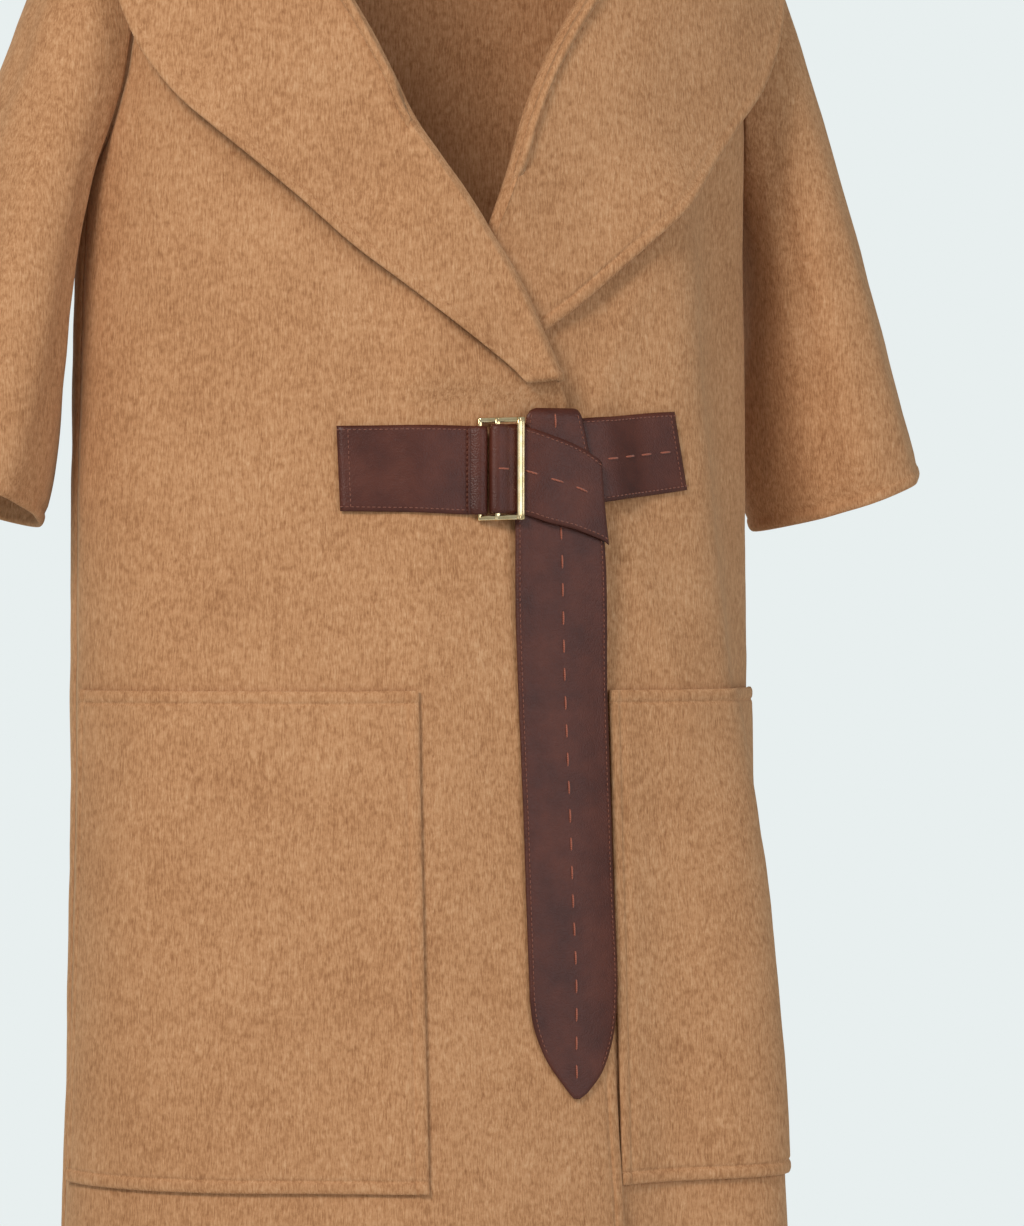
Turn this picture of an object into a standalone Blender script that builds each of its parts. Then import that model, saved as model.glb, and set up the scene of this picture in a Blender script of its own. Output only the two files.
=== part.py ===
"""Wool cape: a wide, belted half-sleeve coat of double-faced wool, worn and hollow, with no wearer in it.

Metres, +Z up, the front faces -Y and the wearer's left is +X. The origin is where the shoulders and the neck
hold the coat: on the body's axis, at the height of the neck end of the shoulder seams.
The cloth is one thickness that lies inside the outer faces of the pieces. The body is described by level rings,
and a place on it by its azimuth (degrees from the front), its level (the height of its ring at the side seam)
and its lift (the distance outside the outer face). "Own" azimuths are positive towards the piece's own side.
"""
from collections import namedtuple
from math import cos, degrees, exp, radians, sin

import bpy
from mathutils import Vector

# Driving dimensions
CLOTH = 0.003
LEATHER = 0.002
SEAM = 0.0004
BODY_SQUARENESS = 2.2
HEM_LEVEL = -1.020
POCKET_TOP, POCKET_BOTTOM = -0.571, -0.851
POCKET_OUTER = 86.0
ARMHOLE_TOP, ARMHOLE_BOTTOM = -0.045, -0.270
ARMHOLE_FRONT_DIP, ARMHOLE_BACK_DIP = 10.0, 16.0
SLEEVE_HEM = Vector((0.2735, 0.030, -0.4600))
SLEEVE_HALF_WIDTH, SLEEVE_HALF_DEPTH = 0.0500, 0.0750
SLEEVE_HEM_RISE = 0.25
SLEEVE_AXIS = Vector((0.32, 0.04, -0.95)).normalized()
SLEEVE_CAP_AXIS = Vector((0.72, 0.0, -0.70))
SLEEVE_CAP_REACH, SLEEVE_UNDERARM_REACH, SLEEVE_HEM_REACH = 0.20, 0.26, 0.22
LAP_LIFT = 0.004
LAP_OUTER, LAP_INNER = 46.0, 20.0
BULGE_LIFT = 0.006
BULGE_START, BULGE_FULL, BULGE_FADE, BULGE_END = -0.414, -0.393, -0.285, -0.245
BULGE_OUTER, BULGE_INNER = 34.0, 15.0
COLLAR_START = 0.0009
COLLAR_UNDERCUT = 0.0015
COLLAR_LEAN, COLLAR_LEAN_UPRIGHT = 0.0035, 0.0020
COLLAR_BROW_RISE, COLLAR_BROW_LEAN = 0.93, 2.3

RIGHT, LEFT = -1, 1


def table(names, *rows):
    """A short table: one named record for each row."""
    row_type = namedtuple("Row", names)
    return [row_type(*row) for row in rows]


# The body's level rings. Half width is at the side seams, the depths are at the front and back centre,
# and a shift tips the ring at the front or back centre, so that the upper rings lie on the shoulders.
RINGS = table(
    "level front_shift back_shift half_width front_depth back_depth",
    (-1.020, 0.000, 0.000, 0.210, 0.166, 0.146),
    (-0.830, 0.000, 0.000, 0.203, 0.152, 0.136),
    (-0.700, 0.000, 0.000, 0.200, 0.141, 0.130),
    (-0.566, 0.000, 0.000, 0.199, 0.130, 0.124),
    (-0.410, 0.000, 0.000, 0.198, 0.117, 0.119),
    (-0.300, 0.000, 0.000, 0.196, 0.112, 0.118),
    (-0.225, 0.000, 0.000, 0.195, 0.109, 0.117),
    (-0.160, -0.014, -0.004, 0.190, 0.104, 0.115),
    (-0.100, -0.034, -0.014, 0.182, 0.096, 0.110),
    (-0.045, -0.056, -0.024, 0.168, 0.083, 0.102),
    (-0.020, -0.064, -0.014, 0.125, 0.066, 0.088),
    (0.000, -0.070, 0.008, 0.078, 0.050, 0.071),
)

# The largest folds: ridges (height above 0) and troughs (below 0) that run down the body. Azimuths here are
# from the front centre, positive to the wearer's left.
FOLDS = {
    "left front ridge": table(
        "level azimuth height width",
        (-0.200, 44.0, 0.000, 8.0),
        (-0.300, 50.0, 0.006, 8.0),
        (-0.566, 59.0, 0.005, 8.0),
        (-0.704, 57.0, 0.018, 8.5),
        (-0.824, 55.0, 0.025, 9.0),
        (-1.020, 53.0, 0.028, 9.0),
    ),
    "left side valley": table(
        "level azimuth height width",
        (-0.220, 66.0, 0.000, 6.0),
        (-0.320, 68.0, -0.012, 7.0),
        (-0.566, 72.0, -0.012, 6.0),
        (-0.700, 72.0, -0.008, 6.0),
        (-1.020, 72.0, -0.012, 7.0),
    ),
    "left front trough": table(
        "level azimuth height width",
        (-0.460, 36.0, 0.000, 7.0),
        (-0.600, 37.0, -0.003, 7.0),
        (-0.800, 37.0, -0.006, 7.0),
        (-1.020, 36.0, -0.009, 7.0),
    ),
    "right front trough": table(
        "level azimuth height width",
        (-0.200, -80.0, -0.004, 9.0),
        (-0.460, -66.0, -0.007, 9.0),
        (-0.560, -57.0, -0.008, 10.0),
        (-0.830, -43.0, -0.008, 10.0),
        (-1.020, -40.0, -0.012, 9.0),
    ),
    "right side swell": table(
        "level azimuth height width",
        (-0.220, -92.0, 0.004, 16.0),
        (-0.300, -92.0, 0.012, 16.0),
        (-0.600, -88.0, 0.014, 16.0),
        (-1.020, -80.0, 0.018, 14.0),
    ),
    "right back trough": table(
        "level azimuth height width",
        (-0.300, -142.0, 0.000, 9.0),
        (-0.600, -140.0, -0.010, 9.0),
        (-1.020, -134.0, -0.016, 8.0),
    ),
    "back ridge": table(
        "level azimuth height width",
        (-0.280, 176.0, 0.000, 9.0),
        (-0.600, 172.0, 0.008, 10.0),
        (-1.020, 168.0, 0.014, 10.0),
    ),
    "left back trough": table(
        "level azimuth height width",
        (-0.320, 138.0, 0.000, 8.0),
        (-0.640, 136.0, -0.012, 8.0),
        (-1.020, 132.0, -0.018, 8.0),
    ),
}

# The edge that each front has towards the other: the lap from the hem to the closure, then the roll line
# up to the neck, in own azimuth. The right front is on top, and both pass the front centre.
FRONT_EDGE = {
    RIGHT: table(
        "level azimuth",
        (-1.020, -24.5),
        (-0.820, -24.3),
        (-0.571, -22.8),
        (-0.413, -21.5),
        (-0.393, -17.0),
        (-0.370, -12.2),
        (-0.341, -5.7),
        (-0.314, 2.4),
        (-0.287, 11.4),
        (-0.261, 20.0),
        (-0.237, 26.3),
        (-0.190, 36.0),
        (-0.145, 46.0),
        (-0.100, 57.0),
        (-0.060, 68.0),
        (-0.020, 79.0),
        (0.000, 84.0),
    ),
    LEFT: table(
        "level azimuth",
        (-1.020, -18.0),
        (-0.571, -19.5),
        (-0.420, -20.0),
        (-0.400, -18.0),
        (-0.370, -12.0),
        (-0.340, -6.0),
        (-0.313, -1.5),
        (-0.279, 5.2),
        (-0.236, 12.5),
        (-0.190, 23.0),
        (-0.145, 36.0),
        (-0.100, 50.0),
        (-0.060, 65.0),
        (-0.020, 79.0),
        (0.000, 84.0),
    ),
}

# The pocket's front edge on each front, in own azimuth at the pocket's top and bottom.
POCKET_INNER = {
    RIGHT: table("level azimuth", (POCKET_BOTTOM, 18.5), (POCKET_TOP, 21.0)),
    LEFT: table("level azimuth", (POCKET_BOTTOM, 24.6), (POCKET_TOP, 28.6)),
}

# The shawl collar's stations up each front, from the tip to the neck: the level where it leaves the front's
# edge, how much it stands upright there (0 rolls off the front, 1 stands on the neckline), how high it rolls,
# and where its outer edge lies, in own azimuth. Lifts are above the cloth under it.
COLLAR_FRONT = {
    RIGHT: table(
        "level upright rise outer_azimuth outer_level middle_lift outer_lift",
        (-0.396, 0.0, 0.0078, -7.5, -0.3980, 0.0068, 0.0064),
        (-0.370, 0.0, 0.0090, -1.8, -0.3870, 0.0070, 0.0064),
        (-0.341, 0.0, 0.0098, 12.7, -0.3640, 0.0072, 0.0074),
        (-0.314, 0.0, 0.0102, 26.1, -0.3410, 0.0072, 0.0084),
        (-0.292, 0.0, 0.0104, 38.0, -0.3190, 0.0072, 0.0092),
        (-0.270, 0.0, 0.0106, 48.4, -0.2930, 0.0074, 0.0104),
        (-0.2485, 0.0, 0.0110, 57.0, -0.2700, 0.0076, 0.0118),
        (-0.2236, 0.0, 0.0114, 63.5, -0.2515, 0.0080, 0.0132),
        (-0.1923, 0.0, 0.0120, 69.0, -0.2345, 0.0086, 0.0150),
        (-0.1575, 0.0, 0.0130, 74.5, -0.2070, 0.0096, 0.0180),
        (-0.1227, 0.0, 0.0145, 79.5, -0.1720, 0.0110, 0.0230),
        (-0.0914, 0.1, 0.0175, 85.0, -0.1300, 0.0140, 0.0270),
        (-0.0665, 0.2, 0.0210, 89.0, -0.1020, 0.0160, 0.0280),
        (-0.0505, 0.4, 0.0240, 92.0, -0.0880, 0.0180, 0.0270),
        (-0.0338, 0.6, 0.0270, 94.0, -0.0820, 0.0190, 0.0260),
        (-0.0225, 0.8, 0.0290, 95.5, -0.0790, 0.0200, 0.0250),
        (-0.0112, 0.9, 0.0320, 97.0, -0.0770, 0.0210, 0.0240),
    ),
    LEFT: table(
        "level upright rise outer_azimuth outer_level middle_lift outer_lift",
        (-0.370, 0.0, 0.0050, -5.0, -0.3860, 0.0046, 0.0044),
        (-0.341, 0.0, 0.0052, 9.0, -0.3760, 0.0046, 0.0046),
        (-0.314, 0.0, 0.0058, 18.5, -0.3620, 0.0052, 0.0056),
        (-0.292, 0.0, 0.0094, 25.5, -0.3510, 0.0068, 0.0074),
        (-0.270, 0.0, 0.0104, 34.0, -0.3350, 0.0072, 0.0086),
        (-0.2485, 0.0, 0.0108, 42.5, -0.3160, 0.0076, 0.0096),
        (-0.2236, 0.0, 0.0112, 50.5, -0.2935, 0.0080, 0.0108),
        (-0.1923, 0.0, 0.0120, 59.0, -0.2680, 0.0086, 0.0124),
        (-0.1575, 0.0, 0.0130, 66.5, -0.2430, 0.0096, 0.0150),
        (-0.1227, 0.0, 0.0145, 74.5, -0.2120, 0.0110, 0.0210),
        (-0.0914, 0.1, 0.0175, 81.0, -0.1660, 0.0140, 0.0300),
        (-0.0665, 0.2, 0.0210, 87.0, -0.1220, 0.0170, 0.0330),
        (-0.0505, 0.4, 0.0240, 91.0, -0.0980, 0.0190, 0.0310),
        (-0.0338, 0.6, 0.0270, 94.0, -0.0860, 0.0190, 0.0280),
        (-0.0225, 0.8, 0.0290, 95.5, -0.0810, 0.0200, 0.0250),
        (-0.0112, 0.9, 0.0320, 97.0, -0.0770, 0.0210, 0.0240),
    ),
}

# The same collar's stations around the neckline, in own azimuth, up to the seam at the back centre.
COLLAR_NECK = table(
    "azimuth rise outer_azimuth outer_level middle_lift outer_lift",
    (84.0, 0.0340, 99.0, -0.0750, 0.0210, 0.0230),
    (104.0, 0.0390, 112.0, -0.0740, 0.0210, 0.0180),
    (120.0, 0.0420, 124.0, -0.0760, 0.0200, 0.0130),
    (136.0, 0.0450, 138.0, -0.0800, 0.0190, 0.0100),
    (152.0, 0.0470, 153.0, -0.0830, 0.0180, 0.0085),
    (166.0, 0.0480, 166.5, -0.0850, 0.0180, 0.0080),
    (180.0, 0.0490, 180.0, -0.0860, 0.0180, 0.0080),
)

# Leather bands. A row gives the band's upper and lower edge (on the tail, its right and left edge as seen):
# across is the distance from the front centre towards the wearer's left, height is the true height, and lift
# is that of the band's middle layer, above the body's face or, for the tab, above the right front.
BAND = "upper_across upper_height lower_across lower_height upper_lift lower_lift"
TAB = table(
    BAND,
    (-0.0905, -0.4220, -0.0895, -0.4700, 0.0016, 0.0016),
    (-0.0690, -0.4218, -0.0690, -0.4704, 0.0016, 0.0016),
    (-0.0470, -0.4215, -0.0480, -0.4708, 0.0016, 0.0016),
    (-0.0320, -0.4215, -0.0335, -0.4714, 0.0016, 0.0016),
    (-0.0175, -0.4218, -0.0190, -0.4720, 0.0016, 0.0016),
    (-0.0150, -0.4219, -0.0165, -0.4721, 0.0027, 0.0027),
    (-0.0128, -0.4220, -0.0143, -0.4722, 0.0042, 0.0042),
    (-0.0100, -0.4221, -0.0115, -0.4723, 0.0050, 0.0050),
    (-0.0073, -0.4221, -0.0088, -0.4723, 0.0042, 0.0042),
    (-0.0063, -0.4221, -0.0078, -0.4723, 0.0024, 0.0024),
)
STRAP_BASE = table(
    BAND,
    (0.1155, -0.4110, 0.1235, -0.4560, 0.0018, 0.0018),
    (0.1030, -0.4118, 0.1100, -0.4580, 0.0018, 0.0018),
    (0.0900, -0.4130, 0.0950, -0.4600, 0.0026, 0.0026),
    (0.0760, -0.4145, 0.0790, -0.4622, 0.0058, 0.0058),
    (0.0610, -0.4160, 0.0620, -0.4645, 0.0076, 0.0076),
    (0.0450, -0.4172, 0.0440, -0.4666, 0.0074, 0.0074),
    (0.0300, -0.4186, 0.0280, -0.4685, 0.0066, 0.0066),
    (0.0180, -0.4196, 0.0160, -0.4698, 0.0060, 0.0060),
    (0.0060, -0.4206, 0.0045, -0.4709, 0.0058, 0.0058),
    (0.0010, -0.4210, -0.0005, -0.4712, 0.0060, 0.0060),
    (-0.0020, -0.4212, -0.0035, -0.4714, 0.0066, 0.0066),
    (-0.0040, -0.4214, -0.0055, -0.4716, 0.0080, 0.0080),
    (-0.0044, -0.4214, -0.0059, -0.4716, 0.0100, 0.0100),
    (-0.0038, -0.4214, -0.0053, -0.4717, 0.0119, 0.0119),
    (-0.0010, -0.4213, -0.0025, -0.4718, 0.0130, 0.0130),
    (0.0022, -0.4213, 0.0007, -0.4719, 0.0126, 0.0126),
    (0.0055, -0.4214, 0.0040, -0.4720, 0.0117, 0.0117),
    (0.0090, -0.4215, 0.0073, -0.4721, 0.0114, 0.0114),
    (0.0120, -0.4217, 0.0103, -0.4722, 0.0114, 0.0114),
)
STRAP_WRAP = table(
    BAND,
    (0.0124, -0.4218, 0.0107, -0.4722, 0.0114, 0.0114),
    (0.0190, -0.4236, 0.0172, -0.4738, 0.0126, 0.0126),
    (0.0280, -0.4268, 0.0270, -0.4772, 0.0138, 0.0138),
    (0.0398, -0.4310, 0.0400, -0.4802, 0.0141, 0.0141),
    (0.0500, -0.4356, 0.0510, -0.4838, 0.0138, 0.0138),
    (0.0575, -0.4395, 0.0595, -0.4868, 0.0135, 0.0134),
    (0.0612, -0.4425, 0.0634, -0.4890, 0.0130, 0.0128),
)
STRAP_TAIL = table(
    BAND,
    (0.0470, -0.4156, 0.0310, -0.4162, 0.0062, 0.0060),
    (0.0475, -0.4122, 0.0220, -0.4122, 0.0086, 0.0082),
    (0.0490, -0.4158, 0.0170, -0.4154, 0.0114, 0.0098),
    (0.0510, -0.4235, 0.0160, -0.4225, 0.0114, 0.0089),
    (0.0540, -0.4360, 0.0130, -0.4380, 0.0109, 0.0088),
    (0.0600, -0.4600, 0.0090, -0.4620, 0.0107, 0.0088),
    (0.0620, -0.4900, 0.0084, -0.4860, 0.0104, 0.0084),
    (0.0630, -0.5260, 0.0078, -0.5240, 0.0086, 0.0070),
    (0.0632, -0.5650, 0.0082, -0.5650, 0.0064, 0.0060),
    (0.0634, -0.6050, 0.0088, -0.6050, 0.0060, 0.0058),
    (0.0636, -0.6450, 0.0094, -0.6450, 0.0060, 0.0058),
    (0.0636, -0.6870, 0.0096, -0.6870, 0.0060, 0.0058),
    (0.0644, -0.7250, 0.0099, -0.7250, 0.0060, 0.0058),
    (0.0634, -0.7470, 0.0102, -0.7470, 0.0060, 0.0058),
    (0.0602, -0.7660, 0.0124, -0.7620, 0.0060, 0.0058),
    (0.0530, -0.7850, 0.0190, -0.7790, 0.0060, 0.0058),
    (0.0440, -0.7965, 0.0290, -0.7935, 0.0060, 0.0058),
    (0.0380, -0.8010, 0.0345, -0.8005, 0.0060, 0.0058),
)

# The buckle's bars, left to right, from across to across, with the heights of their faces above the cloth.
BUCKLE_TOP, BUCKLE_BOTTOM = -0.4172, -0.4756
BUCKLE_RAIL = 0.0028
BUCKLE_TILT = 0.03
BUCKLE_BARS = table(
    "name start end low high",
    ("hinge bar", -0.0112, -0.0088, 0.0052, 0.0074),
    ("middle bar", -0.0024, 0.0010, 0.0084, 0.0110),
    ("front bar", 0.0090, 0.0136, 0.0130, 0.0158),
)


def smoothstep(low, high, value):
    """0 below low, 1 above high and a soft step between them; high may be the smaller one."""
    share = min(1.0, max(0.0, (value - low) / (high - low)))
    return share * share * (3.0 - 2.0 * share)


def read(rows, column, at, key="level"):
    """A smooth curve through a table's column, read where the key column has the value at."""
    keys = [getattr(row, key) for row in rows]
    values = [getattr(row, column) for row in rows]
    if at <= keys[0]:
        return values[0]
    if at >= keys[-1]:
        return values[-1]
    index = max(i for i in range(len(keys) - 1) if keys[i] <= at)

    def slope(i):
        before, after = max(i - 1, 0), min(i + 1, len(keys) - 1)
        return (values[after] - values[before]) / (keys[after] - keys[before])

    span = keys[index + 1] - keys[index]
    t = (at - keys[index]) / span
    start = (2 * t**3 - 3 * t**2 + 1) * values[index] + (t**3 - 2 * t**2 + t) * span * slope(index)
    end = (3 * t**2 - 2 * t**3) * values[index + 1] + (t**3 - t**2) * span * slope(index + 1)
    return start + end


FOLD_ROWS = {
    name: table("level azimuth height width", *sorted(tuple(row) for row in rows))
    for name, rows in FOLDS.items()
}
EDGE_ROWS = {
    side: table("level azimuth", *sorted(tuple(row) for row in rows)) for side, rows in FRONT_EDGE.items()
}


def fold_height(azimuth, level):
    """The folds' height at a place on the body."""
    total = 0.0
    for rows in FOLD_ROWS.values():
        away = (azimuth - read(rows, "azimuth", level) + 180.0) % 360.0 - 180.0
        total += read(rows, "height", level) * exp(-0.5 * (away / read(rows, "width", level)) ** 2)
    return total


def body_face(azimuth, level):
    """A point of the body's outer face."""
    across, along = sin(radians(azimuth)), cos(radians(azimuth))
    front = along > 0.0
    depth = read(RINGS, "front_depth" if front else "back_depth", level)
    shift = read(RINGS, "front_shift" if front else "back_shift", level)
    width = read(RINGS, "half_width", level)
    square = BODY_SQUARENESS
    radius = (abs(across / width) ** square + abs(along / depth) ** square) ** (-1.0 / square)
    radius += fold_height(azimuth, level)
    return Vector((radius * across, -radius * along, level + shift * along * along))


def body_out(azimuth, level):
    """The direction straight out of the body's face."""
    turn = body_face(azimuth + 0.5, level) - body_face(azimuth - 0.5, level)
    top = min(level + 0.0015, RINGS[-1].level)
    climb = body_face(azimuth, top) - body_face(azimuth, top - 0.003)
    return turn.cross(climb).normalized()


def body(azimuth, level, lift=0.0):
    """A point of the body, moved out by the lift."""
    return body_face(azimuth, level) + body_out(azimuth, level) * lift


def lap_lift(side, own_azimuth, level):
    """How far a front lies outside the body's face: the right one laps over the left one and its collar."""
    if side == LEFT:
        return 0.0
    over_front = smoothstep(LAP_OUTER, LAP_INNER, own_azimuth)
    over_collar = smoothstep(BULGE_START, BULGE_FULL, level) * smoothstep(BULGE_END, BULGE_FADE, level)
    over_collar *= smoothstep(BULGE_OUTER, BULGE_INNER, own_azimuth)
    return LAP_LIFT * over_front + BULGE_LIFT * over_collar


def front(side, own_azimuth, level, lift=0.0):
    """A point of a front, moved out by the lift."""
    return body(side * own_azimuth, level, lap_lift(side, own_azimuth, level) + lift)


def armhole(turn):
    """Own azimuth and level on the armhole; turn is 0 at the top, positive down the front, 180 at the bottom."""
    middle = (ARMHOLE_TOP + ARMHOLE_BOTTOM) / 2.0
    half = (ARMHOLE_TOP - ARMHOLE_BOTTOM) / 2.0
    dip = ARMHOLE_FRONT_DIP if turn < 180.0 else ARMHOLE_BACK_DIP
    return 90.0 - dip * sin(radians(turn)), middle + half * cos(radians(turn))


def azimuth_at(across, height):
    """The azimuth where the body's face is that far across from the front centre, at a height below the chest."""
    low, high = -75.0, 75.0
    for _ in range(40):
        middle = (low + high) / 2.0
        if body_face(middle, height).x < across:
            low = middle
        else:
            high = middle
    return (low + high) / 2.0


def finish(name, vertices, faces, material):
    """Make the object, its faces pointing out."""
    mesh = bpy.data.meshes.new(name)
    mesh.from_pydata([tuple(v) for v in vertices], [], faces)
    mesh.validate()
    mesh.update()
    mesh.materials.append(material)
    item = bpy.data.objects.new(name, mesh)
    bpy.context.scene.collection.objects.link(item)
    mesh.shade_smooth()
    mesh.set_sharp_from_angle(angle=radians(40.0))
    return item


def wall(name, outer, inner, material, ring=False, cells=None):
    """A closed wall between two grids of points. Seen from outside, columns run to the right and rows run up.

    ring joins the last column to the first, and cells, if given, says which cells of the grid have cloth.
    """
    rows, columns = len(outer), len(outer[0])
    across = columns if ring else columns - 1
    used = {
        (r, c) for r in range(rows - 1) for c in range(across) if cells is None or cells[r][c]
    }
    vertices, numbers, faces = [], {}, []

    def number(layer, r, c):
        key = (layer, r, c % columns)
        if key not in numbers:
            numbers[key] = len(vertices)
            vertices.append((outer if layer == 0 else inner)[r][c % columns])
        return numbers[key]

    for r, c in sorted(used):
        ring_of = [(r, c), (r, c + 1), (r + 1, c + 1), (r + 1, c)]
        for corners in (ring_of[:3], [ring_of[0], *ring_of[2:]]):
            faces.append([number(0, *at) for at in corners])
            faces.append([number(1, *at) for at in reversed(corners)])
        for start, end, neighbour in (
            (ring_of[0], ring_of[1], (r - 1, c)),
            (ring_of[1], ring_of[2], (r, (c + 1) % across if ring else c + 1)),
            (ring_of[2], ring_of[3], (r + 1, c)),
            (ring_of[3], ring_of[0], (r, (c - 1) % across if ring else c - 1)),
        ):
            if neighbour not in used:
                faces.append([number(0, *end), number(0, *start), number(1, *start), number(1, *end)])
    return finish(name, vertices, faces, material)


def grid_out(grid, r, c, ring=False):
    """The direction straight out of a grid of points at one of them."""
    rows, columns = len(grid), len(grid[0])
    if ring:
        before, after = (c - 1) % columns, (c + 1) % columns
    else:
        before, after = max(c - 1, 0), min(c + 1, columns - 1)
    right = grid[r][after] - grid[r][before]
    up = grid[min(r + 1, rows - 1)][c] - grid[max(r - 1, 0)][c]
    return right.cross(up).normalized()


def moved(grid, distance, ring=False):
    """The grid's points, each moved straight out by the distance."""
    return [
        [point + grid_out(grid, r, c, ring) * distance for c, point in enumerate(row)] for r, row in enumerate(grid)
    ]


def material(name, colour, roughness, metallic=0.0):
    """A plain Principled material."""
    made = bpy.data.materials.new(name)
    made.use_nodes = True
    shader = made.node_tree.nodes["Principled BSDF"]
    shader.inputs["Base Color"].default_value = (*colour, 1.0)
    shader.inputs["Roughness"].default_value = roughness
    shader.inputs["Metallic"].default_value = metallic
    made.diffuse_color = (*colour, 1.0)
    return made


def even(start, end, steps):
    """Evenly spaced values, with both ends."""
    return [start + (end - start) * i / steps for i in range(steps + 1)]


# Levels of the grids' rows: the skirt, the pocket, the waist and chest, the armhole and the shoulder.
ARMHOLE_STEPS = 10
POCKET_ROWS = 7
SKIRT_LEVELS = even(HEM_LEVEL, POCKET_BOTTOM, 4)
POCKET_LEVELS = even(POCKET_BOTTOM, POCKET_TOP, POCKET_ROWS)
CHEST_LEVELS = even(POCKET_TOP, -0.430, 3) + [-0.414, -0.396, -0.370, -0.341, -0.314, -0.292, ARMHOLE_BOTTOM]
ARMHOLE_LEVELS = [armhole(180.0 - 180.0 * i / ARMHOLE_STEPS)[1] for i in range(ARMHOLE_STEPS + 1)]
SHOULDER_LEVELS = even(ARMHOLE_TOP, 0.0, 4)
LEVELS = SKIRT_LEVELS + POCKET_LEVELS[1:] + CHEST_LEVELS[1:] + ARMHOLE_LEVELS[1:] + SHOULDER_LEVELS[1:]
FIRST_POCKET_ROW = len(SKIRT_LEVELS) - 1

LAP_COLUMNS, POCKET_COLUMNS, SIDE_COLUMNS = 6, 9, 1
BACK_COLUMNS = 22


def armhole_dip(level, dip):
    """How far the armhole cuts into a panel at this level, in degrees."""
    middle = (ARMHOLE_TOP + ARMHOLE_BOTTOM) / 2.0
    half = (ARMHOLE_TOP - ARMHOLE_BOTTOM) / 2.0
    share = min(1.0, abs(level - middle) / half)
    return dip * (1.0 - share * share) ** 0.5


def seam_angle(level):
    """Half a seam's gap, in degrees, on the side of the body."""
    return degrees(SEAM / 2.0 / read(RINGS, "half_width", level))


def front_azimuths(side, level):
    """The own azimuths of a front's columns at a level: edge, pocket's two sides, side seam or armhole."""
    edge = read(EDGE_ROWS[side], "azimuth", level)
    end = 90.0 - seam_angle(level) - armhole_dip(level, ARMHOLE_FRONT_DIP)
    nearest = min(max(level, POCKET_BOTTOM), POCKET_TOP)
    pocket_edge = read(EDGE_ROWS[side], "azimuth", nearest)
    inner_share = (read(POCKET_INNER[side], "azimuth", nearest) - pocket_edge) / (90.0 - pocket_edge)
    outer_share = (POCKET_OUTER - pocket_edge) / (90.0 - pocket_edge)
    inner = edge + (end - edge) * inner_share
    outer = edge + (end - edge) * outer_share
    return (
        even(edge, inner, LAP_COLUMNS) + even(inner, outer, POCKET_COLUMNS)[1:] + even(outer, end, SIDE_COLUMNS)[1:]
    )


def outward_order(side, rows):
    """Rows whose columns run towards the own side, reordered so that they run right as seen from outside."""
    return rows if side == LEFT else [row[::-1] for row in rows]


def make_front(side, name, cloth):
    """One front: from its lap and roll line to the shoulder seam, the armhole and the side seam."""
    layers = [
        [[front(side, own, level, lift) for own in front_azimuths(side, level)] for level in LEVELS]
        for lift in (0.0, -CLOTH)
    ]
    return wall(name, outward_order(side, layers[0]), outward_order(side, layers[1]), cloth)


def make_pocket(side, name, cloth):
    """A patch pocket, made from the front's own points and moved out."""
    columns = slice(LAP_COLUMNS, LAP_COLUMNS + POCKET_COLUMNS + 1)
    layers = [
        [[front(side, own, level, lift) for own in front_azimuths(side, level)[columns]] for level in POCKET_LEVELS]
        for lift in (SEAM + CLOTH, SEAM)
    ]
    return wall(name, outward_order(side, layers[0]), outward_order(side, layers[1]), cloth)


def make_back(name, cloth):
    """The back, in one piece, between the side seams, armholes, shoulder seams and neckline."""
    def azimuths(level):
        reach = 90.0 - seam_angle(level) - armhole_dip(level, ARMHOLE_BACK_DIP)
        return even(180.0 - reach, 180.0 + reach, BACK_COLUMNS)

    layers = [
        [[body(azimuth, level, lift) for azimuth in azimuths(level)] for level in LEVELS] for lift in (0.0, -CLOTH)
    ]
    return wall(name, *layers, cloth)


SLEEVE_ROWS = 9
SLEEVE_FOLDS = table(
    "turn height width",
    (40.0, -0.004, 16.0),
    (95.0, 0.004, 18.0),
    (150.0, -0.003, 15.0),
    (235.0, -0.006, 16.0),
    (275.0, 0.006, 16.0),
    (320.0, -0.005, 15.0),
)


def own_side(side, point):
    """A point or direction mirrored, for the right side, into the left side's frame, or back."""
    return Vector((side * point.x, point.y, point.z))


def sleeve_start(side, turn):
    """The sleeve's first ring, in the left side's frame: just off the armhole's edge."""
    def at(angle, lift=0.0):
        own, level = armhole(angle)
        return own_side(side, body(side * own, level, lift))

    own, level = armhole(turn)
    along = (at(turn + 1.0) - at(turn - 1.0)).normalized()
    away = own_side(side, body_out(side * own, level)).cross(along)
    return at(turn, SEAM) + away * SEAM * 1.5


def sleeve_end(turn):
    """The sleeve's hem, an oval ring that drops towards the body."""
    across, along = cos(radians(turn)), -sin(radians(turn))
    fold = sum(
        row.height * exp(-0.5 * (((turn - row.turn + 180.0) % 360.0 - 180.0) / row.width) ** 2)
        for row in SLEEVE_FOLDS
    )
    x = (SLEEVE_HALF_WIDTH + fold) * across
    y = (SLEEVE_HALF_DEPTH + fold) * along
    return SLEEVE_HEM + Vector((x, y, SLEEVE_HEM_RISE * x))


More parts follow.
